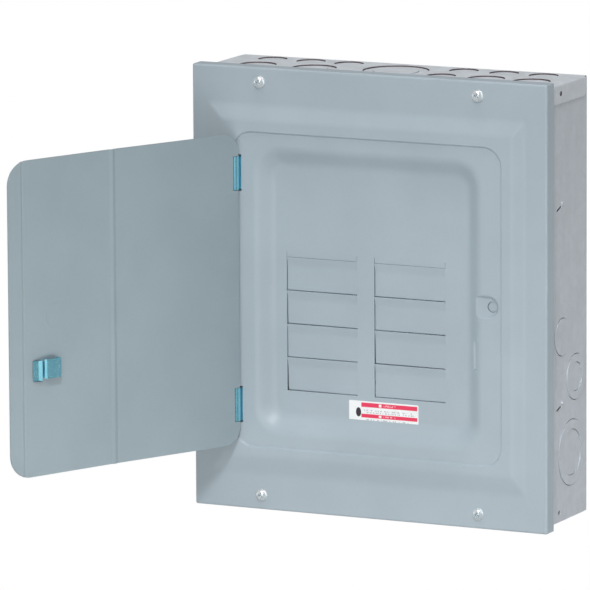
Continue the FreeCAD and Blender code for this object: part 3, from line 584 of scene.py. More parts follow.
def press_channel(bm):
    for vert in bm.verts:
        x, z = vert.co.x, vert.co.z
        if x < CHANNEL_START or abs(z) > CHANNEL_SIDE:
            continue
        reach = (max(x - CHANNEL_END, 0) ** 2 + z ** 2) ** 0.5
        share = (CHANNEL_RADIUS - reach) / CHANNEL_WALL
        if share > -CHANNEL_EASE:
            depth = CHANNEL_DEPTH * soft_ramp(min(share, 1.0), CHANNEL_EASE)
            vert.co.y = max(vert.co.y, recess_y + depth)


def press_strike(bm):
    """A steep-sided pocket in the pan's wall, which the nose of the latch drops into."""
    low, high = strike_slot["z"]
    for vert in bm.verts:
        x, z = vert.co.x, vert.co.z
        if strike_slot["x"][0] < x < strike_slot["x"][1] - 0.05 and low + 0.3 < z < high - 0.3:
            vert.co.y = max(vert.co.y, recess_y + STRIKE_DEPTH)


def cut_between(bm, x_range, z_range, y_range):
    gone = []
    for face in bm.faces:
        middle = face.calc_center_median()
        inside = [low < value < high for value, (low, high) in
                  zip((middle.x, middle.y, middle.z), (x_range, y_range, z_range))]
        if all(inside):
            gone.append(face)
    bmesh.ops.delete(bm, geom=gone, context="FACES")
    return len(gone)


def make_cover():
    bm = bmesh.new()
    inner = draw_rings(bm, drawing)
    press_channel(bm)
    press_strike(bm)
    cut = 0
    for sign in (-1, 1):
        heights = sorted(stop for stop in left_stops if stop * sign > 0)
        cut += cut_between(bm, HINGE_SLOT, heights, (recess_y - 0.2, recess_y + 0.2))
    edges = list(inner)
    for left, right in column_edges:
        high = top_cut + LIP_HEIGHT
        edges += loop_of(bm, [Vector((left, floor_y, bottom_cut)), Vector((right, floor_y, bottom_cut)),
                              Vector((right, floor_y, high)), Vector((left, floor_y, high))])
    bmesh.ops.triangle_fill(bm, use_beauty=True, edges=edges, normal=Vector((0, -1, 0)))
    for left, right in column_edges:
        cut_lip(bm, left, right)
    looks_towards(bm, (0, -1, 0))
    print("cover faces:", len(bm.faces), "cut away for slots:", cut)
    return bm


def cut_lip(bm, left, right):
    """A strip over the top blank that bends back, free of the floor at its two ends."""
    rows, clearance = 5, 0.15
    ends = [Vector((x, floor_y, top_cut + LIP_HEIGHT)) for x in (left + 0.25, right - 0.25)]
    verts = [bm.verts.new(end) for end in ends]
    edges = [bm.edges.new(verts)]
    for row in range(1, rows + 1):
        made = bmesh.ops.extrude_edge_only(bm, edges=edges)["geom"]
        edges = edges_in(made)
        share = row / rows
        for vert in verts_in(made):
            vert.co.z = top_cut + LIP_HEIGHT * (1 - share) + clearance * (row == rows)
            vert.co.y = floor_y + LIP_BEND * share ** 1.5


cover = finish_piece("drawn_cover", make_cover(), "trim", cover_enamel,
                     ["cover"], gauge=GAUGE, edge=0.15)


def bore_cover(piece, x, z, radius):
    """Cut a round hole through the finished cover with a boolean."""
    bm = bmesh.new()
    turn = Matrix.Translation((x, floor_y - 4, z)) @ Matrix.Rotation(pi / 2, 4, "X")
    bmesh.ops.create_cone(bm, cap_ends=True, segments=40, radius1=radius, radius2=radius, depth=24,
                          matrix=turn)
    carve(piece, object_of("drill", bm), 1, ["gauge"])


disc_low, disc_high = place_of("cover_knockout")
disc_x, disc_z = (disc_low.x + disc_high.x) / 2, (disc_low.z + disc_high.z) / 2
disc_radius = (disc_high.x - disc_low.x) / 2
bore_cover(cover, disc_x, disc_z, disc_radius + 0.1)
print("cover size in mm:", [round(value / MM, 1) for value in cover.dimensions])

# %% [markdown]
# ## Breaker blanks
# Eight blanks fill the openings. The die cuts each one on three sides and pushes it back, so the
# top edge stays level with the floor, a short slope follows, and the rest lies a sheet's
# thickness deeper. Three of the blanks were pushed a little further at their lower left corner,
# which opens a dark wedge there. A few rows of vertices down the blank carry the bend.

# %% Bend the blanks
BLANK_STEP, BLANK_SLOPE, BLANK_GAP = 1.3, 6.4, 0.18
TIE_HEIGHT, TOP_GAP, BOTTOM_GAP = 2.2, 0.1, 0.2
leaning = {"twistout_left_2": 0.3, "twistout_left_4": 0.5, "twistout_right_3": 0.35}


def make_blank(node):
    low, high = place_of(node)
    lean = leaning.get(node, 0.0)
    bm = bmesh.new()
    middle = (low + high) / 2
    turn = Matrix.Translation((middle.x, floor_y, middle.z)) @ Matrix.Rotation(pi / 2, 4, "X")
    bmesh.ops.create_grid(bm, x_segments=8, y_segments=44, size=0.5, matrix=turn)
    width, height = high.x - low.x, high.z - low.z
    for vert in bm.verts:
        across = vert.co.x - middle.x
        down = middle.z + 0.5 - vert.co.z
        fall = down * height
        gap = BLANK_GAP if fall > TIE_HEIGHT else 0.0
        vert.co.x = middle.x + across * (width - 2 * gap)
        vert.co.z = high.z - TOP_GAP - down * (height - TOP_GAP - BOTTOM_GAP)
        vert.co.y = floor_y + BLANK_STEP * soft_ramp(fall / BLANK_SLOPE, 0.25)
        vert.co.y += lean * down ** 2 * (0.5 - across)
        vert.co.x += lean * 0.45 * down * (0.5 - across)
    looks_towards(bm, (0, -1, 0))
    return finish_piece(node + "_plate", bm, "trim", cover_enamel, [node],
                        gauge=GAUGE, edge=0.12)


blanks = [make_blank("twistout_%s_%d" % (side, row)) for side in ("left", "right") for row in range(1, 5)]
print("blanks:", len(blanks))

# %% The disc in the latch channel
def make_small_disc():
    bm = bmesh.new()
    flat_disc(bm, disc_x, disc_z, disc_radius - 0.06, 40)
    for vert in bm.verts:
        vert.co.y = disc_low.y + 0.1
    looks_towards(bm, (0, -1, 0))
    return finish_piece("channel_disc", bm, "trim", cover_enamel, ["cover_knockout"],
                        gauge=GAUGE, edge=0.3, steps=3)


make_small_disc()

# %% [markdown]
# ## The door
# The door is a flat sheet with two quiet lines pressed in it: a bead down its middle that stiffens
# it, where it is also a little crowned, and a fine groove near the free edge. Its outline has two
# notches for the hinge knuckles and round corners. It is drawn shut, in the plane of the door,
# then turned about the hinge axis to where the frame's door stands, because a piece must lie
# where its CAD part lies.

# %% The door's own frame
swing = joints["door_swing"]
hinge_axis = Vector(swing["pos_m"]) / MM
open_angle = radians(-swing["range_deg"][0])
door_place = Matrix.Translation(hinge_axis) @ Matrix.Rotation(-open_angle, 4, "Z")
DOOR_BACK, DOOR_EDGE, DOOR_REACH, DOOR_HALF = 2.75, -1.0, 215.3, 118.0
DOOR_CROWN, CREASE, LIP = 1.8, 117.5, 202.0
NOTCH, NOTCH_HALF, HINGE_Z = 3.9, 13.0, (pin_low.z + pin_high.z) / 2
LOCK_AT, LOCK_RADIUS = 171.2, 9.7
HINGE_CORNER, FREE_CORNER = 14, 18
THUMB_SLOT = {"x": (174.6, 183.4), "z": (-41.2, -35.8)}
BEAD_RISE, BEAD_HALF, LIP_GROOVE, LIP_HALF = 1.1, 3.2, 0.7, 1.5


def door_level(x):
    """How far the door's inner face lies behind the hinge axis, along the shut door."""
    reach = CREASE - DOOR_EDGE if x < CREASE else LIP - CREASE
    crown = DOOR_CROWN * max(0.0, 1 - abs(x - CREASE) / reach)
    bead = BEAD_RISE * max(0.0, cos(min(abs(x - CREASE) / BEAD_HALF, 1.0) * pi / 2)) ** 2
    groove = LIP_GROOVE * max(0.0, cos(min(abs(x - LIP) / LIP_HALF, 1.0) * pi / 2)) ** 2
    return DOOR_BACK - crown + bead - groove


def door_outline():
    """The sheet's outline with round corners and hinge notches, counter-clockwise."""
    def corner(x, z, radius, start):
        return [(x + radius * cos(start + turn), z + radius * sin(start + turn)) for turn in quarter_turn(12)]
    near, near_z = DOOR_EDGE + HINGE_CORNER, DOOR_HALF - HINGE_CORNER
    far, far_z = DOOR_REACH - FREE_CORNER, DOOR_HALF - FREE_CORNER
    points = corner(near, -near_z, HINGE_CORNER, pi)
    points += corner(far, -far_z, FREE_CORNER, -pi / 2)
    points += corner(far, far_z, FREE_CORNER, 0)
    points += corner(near, near_z, HINGE_CORNER, pi / 2)
    for level in (HINGE_Z, -HINGE_Z):
        points += [(DOOR_EDGE, level + NOTCH_HALF), (NOTCH, level + NOTCH_HALF),
                   (NOTCH, level - NOTCH_HALF), (DOOR_EDGE, level - NOTCH_HALF)]
    return points


def make_door():
    bm = bmesh.new()
    outline = [Vector((x, 0, z)) for x, z in door_outline()]
    hole = round_hole(LOCK_AT, 0, LOCK_RADIUS, lambda u, v: Vector((u, 0, v)), 64)
    (left, right), (low, high) = THUMB_SLOT["x"], THUMB_SLOT["z"]
    thumb = [Vector((x, 0, z)) for x, z in ((left, low), (right, low), (right, high), (left, high))]
    panel(bm, outline, [hole, thumb], (0, 1, 0))
    folds = [CREASE + BEAD_HALF * step / 6 for step in range(-7, 8)]
    folds += [LIP + LIP_HALF * step / 3 for step in range(-4, 5)]
    for place in folds:
        everything = bm.verts[:] + bm.edges[:] + bm.faces[:]
        bmesh.ops.bisect_plane(bm, geom=everything, dist=0.001, plane_co=(place, 0, 0), plane_no=(1, 0, 0))
    for vert in bm.verts:
        vert.co.y = door_level(vert.co.x)
    looks_towards(bm, (0, 1, 0))
    return finish_piece("door_leaf", bm, "door", door_enamel_shaded, ["door"],
                        place=door_place, gauge=GAUGE, edge=0.25)


make_door()
print("door opens to", round(open_angle * 180 / pi), "degrees")

# %% Hinge ears on the door
EAR_RADIUS = 2.4


def make_ears():
    """Tabs round the pin at both ends of each notch, folded from the door's sheet."""
    bm = bmesh.new()
    for level in (-HINGE_Z, HINGE_Z):
        for low in (level - NOTCH_HALF - GAUGE, level + NOTCH_HALF):
            arc = [pi * (1 + step / 14) for step in range(15)]
            shape = [Vector((EAR_RADIUS * cos(turn), EAR_RADIUS * sin(turn), low)) for turn in arc]
            shape += [Vector((EAR_RADIUS, DOOR_BACK - 0.5, low)), Vector((-1.0, DOOR_BACK - 0.5, low))]
            raise_outline(bm, shape, GAUGE)
    bmesh.ops.recalc_face_normals(bm, faces=bm.faces)
    return finish_piece("door_ears", bm, "door", door_enamel_shaded, place=door_place, edge=0.2)


make_ears()

# %% The lock knockout, barely pressed
def make_lock_disc():
    bm = bmesh.new()
    flat_disc(bm, LOCK_AT, 0, LOCK_RADIUS - 0.03, 64)
    for vert in bm.verts:
        vert.co.y = door_level(vert.co.x) + 0.16
    looks_towards(bm, (0, 1, 0))
    return finish_piece("lock_disc", bm, "door", door_enamel_shaded, ["door_knockout"],
                        place=door_place, gauge=GAUGE, edge=0.12)


make_lock_disc()

# %% [markdown]
# ## Hinges and latch
# Each hinge leaf is a strap that comes through the cover's slot and rolls round the pin. Its
# section is a short run and most of a circle, drawn out to the leaf's height. The latch is a
# folded strap on the inside of the door with a sprung bolt behind it; a thumb tab outside moves
# it. They are small, bright and close to the eye, so their edges get wider breaks.

# %% Roll the hinge leaves
KNUCKLE, KNUCKLE_GAUGE, ROLL_TURN = 2.45, 0.95, 318


def make_leaf(name):
    low, high = place_of("hinge_leaf_" + name)
    bm = bmesh.new()
    wrap = [radians(-ROLL_TURN * step / 40) for step in range(41)]
    roll = [(hinge_axis.x + KNUCKLE * cos(turn), hinge_axis.y + KNUCKLE * sin(turn)) for turn in wrap]
    behind = recess_y + GAUGE + 0.15
    strap = [(hinge_axis.x + KNUCKLE + 7.5, behind), (hinge_axis.x + KNUCKLE, behind),
             (hinge_axis.x + KNUCKLE, hinge_axis.y)]
    path = [Vector(point) for point in rounded_path(strap, 1.4)[:-1]] + [Vector(point) for point in roll]
    fold(bm, path, low.z, high.z, lambda point, z: Vector((point[0], point[1], z)))
    bmesh.ops.recalc_face_normals(bm, faces=bm.faces)
    outward = max(bm.faces, key=lambda face: -face.calc_center_median().x)
    if outward.normal.x > 0:
        bmesh.ops.reverse_faces(bm, faces=bm.faces)
    return finish_piece("rolled_leaf_" + name, bm, "trim", bright_zinc,
                        ["hinge_leaf_" + name], gauge=KNUCKLE_GAUGE, edge=0.22, steps=3)


def make_pin(name):
    """A turned pin: a shank with a round head on top, spun from its half section."""
    low, high = place_of("hinge_pin_" + name)
    bm = bmesh.new()
    section = [(0, low.z), (0.8, low.z), (1.2, low.z + 0.5), (1.2, high.z - 0.8), (1.45, high.z - 0.8),
               (1.45, high.z - 0.45), (1.1, high.z - 0.1), (0, high.z)]
    turned(bm, [(hinge_axis.x + r, hinge_axis.y, z) for r, z in section], hinge_axis, (0, 0, 1), 24)
    return finish_piece("turned_pin_" + name, bm, "trim", screw_zinc,
                        ["hinge_pin_" + name], edge=0)


for name in ("upper", "lower"):
    make_leaf(name)
    make_pin(name)

# %% The latch strap, bolt and spring
STRAP = {"start": 171.3, "end": 185.6, "drop": 1.5, "rise": 4.6, "middle": -37.8, "half": 7.2,
         "sheet": 0.7}
NOSE = {"start": 187.0, "end": 194.4, "middle": -39.0, "half": 7.7, "rise": 3.0, "slope": 189.6,
        "toe": 3.4}
TONGUE = {"start": 178.2, "level": DOOR_BACK + 0.5, "gauge": 1.0, "half": 6.2}
TAB = {"gauge": 1.0, "height": 3.0, "half": 2.4}
STEM = {"start": 180, "end": 181.6, "half": 2.5}
THUMB = {"start": 175.5, "end": 185, "thick": 1.7, "half": 6}
LATCH_Z = -38.5
SPRING = {"turns": 3, "length": 5.7, "radius": 1.2, "wire": 0.16, "shift": 1.1}


def make_strap():
    """A strap that rises from the door, runs flat and turns down at its front edge."""
    bm = bmesh.new()
    top = DOOR_BACK + STRAP["rise"]
    section = [(STRAP["start"], DOOR_BACK - 0.7), (STRAP["start"], top),
               (STRAP["end"] - 1.3, top), (STRAP["end"], top - STRAP["drop"])]
    path = rounded_path([Vector(point) for point in section], 0.3, 5)
    low, high = STRAP["middle"] - STRAP["half"], STRAP["middle"] + STRAP["half"]
    fold(bm, path, low, high, lambda point, z: Vector((point[0], point[1], z)))
    looks_towards(bm, (0, 1, 0))
    return finish_piece("latch_strap", bm, "door", bright_zinc, ["latch_housing"],
                        place=door_place, gauge=STRAP["sheet"], edge=0.25, steps=3)


def rounded_block(bm, x, y, half, edge, segments=3):
    """A block with rounded edges, as high above the latch's middle as it is below."""
    z = (LATCH_Z - half, LATCH_Z + half)
    made = bmesh.ops.create_cube(bm, size=1.0)
    sizes = [high - low for low, high in (x, y, z)]
    middle = [(high + low) / 2 for low, high in (x, y, z)]
    bmesh.ops.scale(bm, vec=sizes, verts=made["verts"])
    bmesh.ops.translate(bm, vec=middle, verts=made["verts"])
    edges = list({item for vert in made["verts"] for item in vert.link_edges})
    bmesh.ops.bevel(bm, geom=edges, offset=edge, offset_type="OFFSET", segments=segments, profile=0.5,
                    affect="EDGES", material=-1)


def make_bolt():
    """The nose is a sloped strip; its tongue runs back under the strap to the thumb tab."""
    bm = bmesh.new()
    top = DOOR_BACK + NOSE["rise"]
    low, high = NOSE["middle"] - NOSE["half"], NOSE["middle"] + NOSE["half"]
    section = [(NOSE["start"], DOOR_BACK + 0.4), (NOSE["end"], DOOR_BACK + 0.4), (NOSE["end"], NOSE["toe"]),
               (NOSE["slope"], NOSE["toe"]), (NOSE["start"] + 0.5, top), (NOSE["start"], top)]
    raise_outline(bm, [(x, y, low) for x, y in section], high - low)
    bmesh.ops.bevel(bm, geom=bm.edges[:], offset=0.25, offset_type="OFFSET", segments=3, profile=0.5,
                    affect="EDGES", material=-1)
    bmesh.ops.recalc_face_normals(bm, faces=bm.faces)
    start, level = TONGUE["start"], TONGUE["level"]
    front = door_level(STEM["start"]) - GAUGE - 0.55
    back = front - THUMB["thick"]
    rounded_block(bm, (start, NOSE["start"] + 1), (level, level + TONGUE["gauge"]), TONGUE["half"], 0.25)
    rounded_block(bm, (start, start + TAB["gauge"]), (level, level + TAB["height"]), TAB["half"], 0.2)
    rounded_block(bm, (STEM["start"], STEM["end"]), (front - 0.6, DOOR_BACK + 1), STEM["half"], 0.2)
    rounded_block(bm, (THUMB["start"], THUMB["end"]), (back, front), THUMB["half"], 0.5)
    for step in range(4):
        rib = THUMB["start"] + 1.7 + 2.0 * step
        rounded_block(bm, (rib - 0.4, rib + 0.4), (back - 0.3, back + 0.3), THUMB["half"] - 1, 0.12, 2)
    return finish_piece("latch_slider", bm, "latch", bright_zinc, ["latch_bolt"],
                        place=door_place, edge=0)


def make_spring():
    """A compression spring as a bevelled curve, turned to a mesh."""
    low, high = place_of("latch_spring")
    along = (Matrix.Rotation(-open_angle, 4, "Z") @ Vector((1, 0, 0))).normalized()
    middle = (low + high) / 2 + along * SPRING["shift"]
    curve = bpy.data.curves.new("spring", "CURVE")
    curve.dimensions = "3D"
    curve.bevel_depth = SPRING["wire"]
    curve.bevel_resolution = 3
    turns, steps, length, radius = SPRING["turns"], 24, SPRING["length"], SPRING["radius"]
    spline = curve.splines.new("POLY")
    spline.points.add(turns * steps)
    across = Vector((0, 0, 1)).cross(along)
    for index, point in enumerate(spline.points):
        turn = 2 * pi * index / steps
        place = middle + along * (length * (index / (turns * steps) - 0.5))
        place = place + across * radius * cos(turn) + Vector((0, 0, radius * sin(turn)))
        point.co = (*place, 1)
    source = bpy.data.objects.new("spring", curve)
    mesh = bpy.data.meshes.new_from_object(source)
    bpy.data.objects.remove(source)
    bm = bmesh.new()
    bm.from_mesh(mesh)
    spring = finish_piece("wound_spring", bm, "door", spring_wire, ["latch_spring"], edge=0)
    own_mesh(spring)
    return spring


make_strap()
make_bolt()
make_spring()
print("latch at", LATCH_Z, "mm, strap", STRAP["start"], "to", STRAP["end"], "mm from the hinge axis")

# %% [markdown]
# ## Cover screws
# Four machine screws with a pan head, a washer face and a crossed recess hold the cover. The head
# is spun from its half section. The recess is cut with a crossed pair of tapered wedges.

# %% Turn the cover screws
def cross_cutter(centre, front):
    """Two crossed wedges that narrow from the head's face to the bottom of the recess."""
    bm = bmesh.new()
    for turn in (radians(20), radians(110)):
        made = bmesh.ops.create_cube(bm, size=1.0)["verts"]
        for vert in made:
            deep = vert.co.y > 0
            vert.co = Vector((vert.co.x * (2.2 if deep else 5.6), 2.4 if deep else -1.0,
                              vert.co.z * (0.75 if deep else 1.35)))
        bmesh.ops.rotate(bm, cent=(0, 0, 0), matrix=Matrix.Rotation(turn, 3, "Y"), verts=made)
    bmesh.ops.translate(bm, verts=bm.verts, vec=(centre[0], front, centre[1]))
    return object_of("cross", bm)


def make_screw(index, x, z):
    bm = bmesh.new()
    seat = front_y
    section = [(0, seat + 9.5), (1.4, seat + 9.5), (2.2, seat + 8.4), (2.2, seat), (4.8, seat),
               (4.85, seat - 0.25), (4.7, seat - 1.0), (4.0, seat - 1.15)]
    dome = quarter_turn(8)
    section += [(3.8 * cos(turn) ** 0.8, seat - 1.2 - 2.3 * sin(turn)) for turn in dome[:-1]]
    section.append((0.0, seat - 1.2 - 2.3))
    turned(bm, [(x + r, y, z) for r, y in section], (x, 0, z), (0, 1, 0), 40)
    piece = finish_piece("pan_screw_%d" % index, bm, "trim", screw_zinc,
                         ["cover_screws"], edge=0.1)
    carve(piece, cross_cutter((x, z), seat - 3.5), 0, [], overlapping=True)


screw_low, screw_high = place_of("cover_screws")
WASHER = 4.4
screw_places = [(x, z) for x in (screw_low.x + WASHER, screw_high.x - WASHER)
                for z in (screw_low.z + WASHER, screw_high.z - WASHER)]
for index, (x, z) in enumerate(screw_places):
    make_screw(index + 1, x, z)
print("cover screws:", len(screw_places))

# %% [markdown]
# ## The galvanized box
# The box is three folded sheets: a wrapper that is the back and both sides, and two end walls
# full of knockouts. A knockout is a disc sheared nearly free, held by two ties. On the end walls
# the outer discs are pushed in by most of the sheet's thickness, so a far rim shows its cut edge
# and a near rim a dark gap. On the sides they stand slightly proud. The flat walls are filled
# outlines with round holes, the folds are rounded paths drawn out, and both are welded together
# before the gauge is added.

# %% Knockouts
wrapper_low, wrapper_high = place_of("case_wrapper")
top_low, top_high = place_of("top_end_wall")
bottom_low, bottom_high = place_of("bottom_end_wall")
HALF_INCH, THREE_QUARTER, ONE_INCH, ONE_AND_HALF = 11.1, 14.3, 17.5, 25.0
END_KNOCKOUTS = [(x, 14.5, HALF_INCH, None) for x in (-111.0, -79.0, -47.4, 47.4, 80.2, 112.2)] + [
    (-108.4, 46.0, THREE_QUARTER, None), (-62.0, 46.0, ONE_INCH, HALF_INCH),
    (0.0, 33.0, ONE_AND_HALF, ONE_INCH), (42.8, 45.5, HALF_INCH, None),
    (79.2, 45.5, THREE_QUARTER, None), (116.0, 45.5, THREE_QUARTER, None)]
SIDE_KNOCKOUTS = [(-25.4, 46.7, THREE_QUARTER, None), (-59.2, 21.6, ONE_INCH, HALF_INCH),
                  (-115.2, 29.5, ONE_AND_HALF, ONE_INCH)]
DISC_GAP, TIE_HALF = 0.42, 1.1
# how deep the outer ring or disc lies, and how deep the centre of a pair
PROUD, SUNK = (-0.45, 0.15), (1.0, 0.15)


def tied_outline(u, v, radius, tie_turn, steps=64):
    """A disc's outline with two narrow ties that reach the rim of its hole."""
    points = []
    for step in range(steps):
        turn = 2 * pi * step / steps
        off_tie = abs(sin(turn - tie_turn)) * radius
        reach = radius if off_tie < TIE_HALF else radius - DISC_GAP
        points.append((u + reach * cos(turn), v + reach * sin(turn)))
    return points


def make_knockouts(name, rows, lift, inward, material, tie_turn, sink):
    """lift(u, v) places a point on the wall's outer face; sink is the depth of ring and centre."""
    ring_sink, centre_sink = sink
    bm = bmesh.new()
    for u, v, outer, inner in rows:
        outline = [lift(*point) + inward * ring_sink for point in tied_outline(u, v, outer, tie_turn)]
        holes = []
        if inner:
            holes = [[point + inward * ring_sink for point in round_hole(u, v, inner, lift, 64)]]
            deeper = [lift(*point) + inward * centre_sink
                      for point in tied_outline(u, v, inner, tie_turn + 0.5)]
            panel(bm, deeper, [], -inward)
        panel(bm, outline, holes, -inward)
    looks_towards(bm, -inward)
    return finish_piece(name + "_discs", bm, "case", material, [name],
                        gauge=GAUGE, edge=0.4 if sink is PROUD else 0.15, steps=3)


def on_right(v, out):
    return Vector((wrapper_high.x, -out, v))


def on_left(v, out):
    return Vector((wrapper_low.x, -out, v))


def on_top(x, out):
    return Vector((x, -out, top_high.z))


def on_bottom(x, out):
    return Vector((x, -out, bottom_low.z))


make_knockouts("knockouts_right", SIDE_KNOCKOUTS, on_right, Vector((-1, 0, 0)), box_zinc, pi / 2, PROUD)
make_knockouts("knockouts_left", SIDE_KNOCKOUTS, on_left, Vector((1, 0, 0)), box_zinc, pi / 2, PROUD)
make_knockouts("knockouts_top", END_KNOCKOUTS, on_top, Vector((0, 0, -1)), end_zinc_lit, 0, SUNK)
make_knockouts("knockouts_bottom", END_KNOCKOUTS, on_bottom, Vector((0, 0, 1)), end_zinc_lit, 0, SUNK)
print("knockouts:", len(END_KNOCKOUTS) * 2 + len(SIDE_KNOCKOUTS) * 2)

# %% The wrapper: back and both sides from one sheet
BOX_BEND, RIM_FLANGE = 1.9, 9.0
SIDE_SCREW_Z, SIDE_SCREW_OUT, SIDE_SCREW = 157.5, 52.0, 1.9
SLOT_Z, SLOT_OUT, SLOT_HALF = 75.0, 46.0, 0.8
MOUNT_X, MOUNT_Z, MOUNT_HOLE = 101.6, 127.0, 3.4
END_FLANGE = 14.0
LAP_CORNER = 4.0


def slot_hole(lift, start, end, half, steps=6):
    """A short round-ended slot between two points on a wall."""
    start, end = Vector(start), Vector(end)
    along = (end - start).normalized()
    points = []
    for centre, base in ((end, 0), (start, pi)):
        for step in range(steps + 1):
            turn = base - pi / 2 + pi * step / steps
            side = Matrix.Rotation(turn, 2) @ along
            points.append(lift(*(centre + side * half)))
    return points


def make_wrapper():
    bm = bmesh.new()
    x, rim, low, high = wrapper_high.x, wrapper_low.y, wrapper_low.z, wrapper_high.z
    corners = [(x - RIM_FLANGE, rim), (x, rim), (x, 0), (-x, 0), (-x, rim), (-x + RIM_FLANGE, rim)]
    path = rounded_path([Vector(point) for point in corners], BOX_BEND)
    fold(bm, path, low, high, lambda point, z: Vector((point[0], point[1], z)))
    flat = [face for face in bm.faces
            if abs(abs(face.normal.x) - 1) < 1e-4 or face.calc_center_median().xy.length < 20]
    bmesh.ops.delete(bm, geom=flat, context="FACES_ONLY")
    loose = [edge for edge in bm.edges if not edge.link_faces]
    bmesh.ops.delete(bm, geom=loose, context="EDGES")
    for lift, sign in ((on_right, 1), (on_left, -1)):
        outline = [Vector((x * sign, y, z)) for y, z in ((rim + BOX_BEND, low), (-BOX_BEND, low),
                                                          (-BOX_BEND, high), (rim + BOX_BEND, high))]
        holes = [round_hole(v, out, outer, lift, 64) for v, out, outer, inner in SIDE_KNOCKOUTS]
        holes += [round_hole(height, SIDE_SCREW_OUT, SIDE_SCREW, lift, 20)
                  for height in (-SIDE_SCREW_Z, SIDE_SCREW_Z)]
        holes += [slot_hole(lift, (height - 4.6, SLOT_OUT + 10), (height - 2.4, SLOT_OUT + 3), SLOT_HALF)
                  for height in (-SLOT_Z, SLOT_Z)]
        panel(bm, outline, holes, (sign, 0, 0))
    outline = [Vector((u, 0, v)) for u, v in ((-x + BOX_BEND, low), (x - BOX_BEND, low),
                                              (x - BOX_BEND, high), (-x + BOX_BEND, high))]
    holes = [round_hole(u, v, MOUNT_HOLE, lambda a, b: Vector((a, 0, b)), 32)
             for u in (-MOUNT_X, MOUNT_X) for v in (-MOUNT_Z, MOUNT_Z)]
    panel(bm, outline, holes, (0, 1, 0))
    weld(bm)
    notch = END_FLANGE + GAUGE
    for level in (low + notch, high - notch + GAUGE):
        front = [face for face in bm.faces if face.calc_center_median().y < rim + 0.05]
        geom = front + list({edge for face in front for edge in face.edges})
        geom += list({vert for face in front for vert in face.verts})
        bmesh.ops.bisect_plane(bm, geom=geom, dist=0.001, plane_co=(0, 0, level), plane_no=(0, 0, 1))
    gone = [face for face in bm.faces if face.calc_center_median().y < rim + 0.05
            and not low + notch < face.calc_center_median().z < high - notch + GAUGE]
    bmesh.ops.delete(bm, geom=gone, context="FACES")
    looks_towards(bm, (0, 1, 0))
    return finish_piece("folded_wrapper", bm, "case", box_zinc, ["case_wrapper"],
                        gauge=GAUGE, edge=0.3, steps=3)


make_wrapper()


# %% The nail tabs beside the side slots
def make_dimples():
    """A half-round bump pressed beside each side slot."""
    bm = bmesh.new()
    for sign in (-1, 1):
        for height in (-SLOT_Z, SLOT_Z):
            spot = Matrix.Translation((wrapper_high.x * sign, -SLOT_OUT - 0.5, height))
            bmesh.ops.create_uvsphere(bm, u_segments=20, v_segments=10, radius=1.7,
                                      matrix=spot @ Matrix.Scale(0.55, 4, (1, 0, 0)))
    return finish_piece("nail_tabs", bm, "case", box_zinc, edge=0)


make_dimples()

# %% The end walls
END_BEND, LAP = 1.5, 14.2
LAP_REAR = -5.5


def end_wall(name, lift, outer_z, sign, half, laps_outside):
    """An end wall: a plate with knockout holes and a flange on every side."""
    bm = bmesh.new()
    rim = top_low.y
    back = -0.05 if laps_outside else -GAUGE - 0.05
    flange_end = outer_z - sign * LAP
    plate_x = half - END_BEND
    front = rim + END_BEND
    rear = back - END_BEND
    outline = [(-plate_x, front), (plate_x, front), (plate_x, LAP_REAR), (plate_x, rear),
               (-plate_x, rear), (-plate_x, LAP_REAR)]
    holes = [round_hole(u, out, outer, lift, 64) for u, out, outer, inner in END_KNOCKOUTS]
    panel(bm, [Vector((u, v, outer_z)) for u, v in outline], holes, (0, 0, sign))
    for side in (-1, 1):
        path = rounded_path([Vector((side * (half - 4), outer_z)), Vector((side * half, outer_z)),
                             Vector((side * half, flange_end))], END_BEND)[1:-1]
        fold(bm, path, front, LAP_REAR, lambda point, y: Vector((point[0], y, point[1])))
        top = path[-1][1]
        lap = [(front, top), (LAP_REAR, top)]
        lap += [(LAP_REAR - LAP_CORNER * (1 - cos(turn)), flange_end + sign * LAP_CORNER * (1 - sin(turn)))
                for turn in quarter_turn(6)]
        lap.append((front, flange_end))
        hole = round_hole(-SIDE_SCREW_OUT, sign * SIDE_SCREW_Z, SIDE_SCREW,
                          lambda y, z: Vector((side * half, y, z)), 20)
        panel(bm, [Vector((side * half, y, z)) for y, z in lap], [hole], (side, 0, 0))
    inner = half - GAUGE - 1
    for start, end in ((rim, 1), (back, -1)):
        path = rounded_path([Vector((start + 4 * end, outer_z)), Vector((start, outer_z)),
                             Vector((start, flange_end))], END_BEND)[1:]
        fold(bm, path, -inner, inner, lambda point, x: Vector((x, point[0], point[1])))
    weld(bm)
    looks_towards(bm, (0, 0, sign))
    # the cut rims take the dark sheared-steel colour, which is partly painted shade
    return finish_piece(name + "_sheet", bm, "case", end_zinc_lit, [name],
                        gauge=GAUGE, edge=0.16, rim=cut_steel_and_shade)


end_wall("top_end_wall", on_top, top_high.z, 1, top_high.x, True)
end_wall("bottom_end_wall", on_bottom, bottom_low.z, -1, bottom_high.x - 0.05, False)
print("box:", [round(value, 1) for value in (wrapper_high - wrapper_low)])

# %% [markdown]
# ## The label
# A small film label sits under the blanks. Its print is generic: two red bands, a dark round
# pictogram and rows of fine grey marks in place of words. The print is painted by the material
# from the label's own coordinates, so the film itself stays one thin sheet with round corners.

# %% Print the label
label_low, label_high = place_of("warning_label")


INK, RED, PALE_RED, WHITE = (0.20, 0.19, 0.20), (0.78, 0.045, 0.11), (0.92, 0.62, 0.66), (0.93, 0.93, 0.93)
FILM_DARK, FILM_LIGHT, DISC_BLACK = (0.80, 0.82, 0.83), (0.86, 0.88, 0.88), (0.045, 0.035, 0.045)
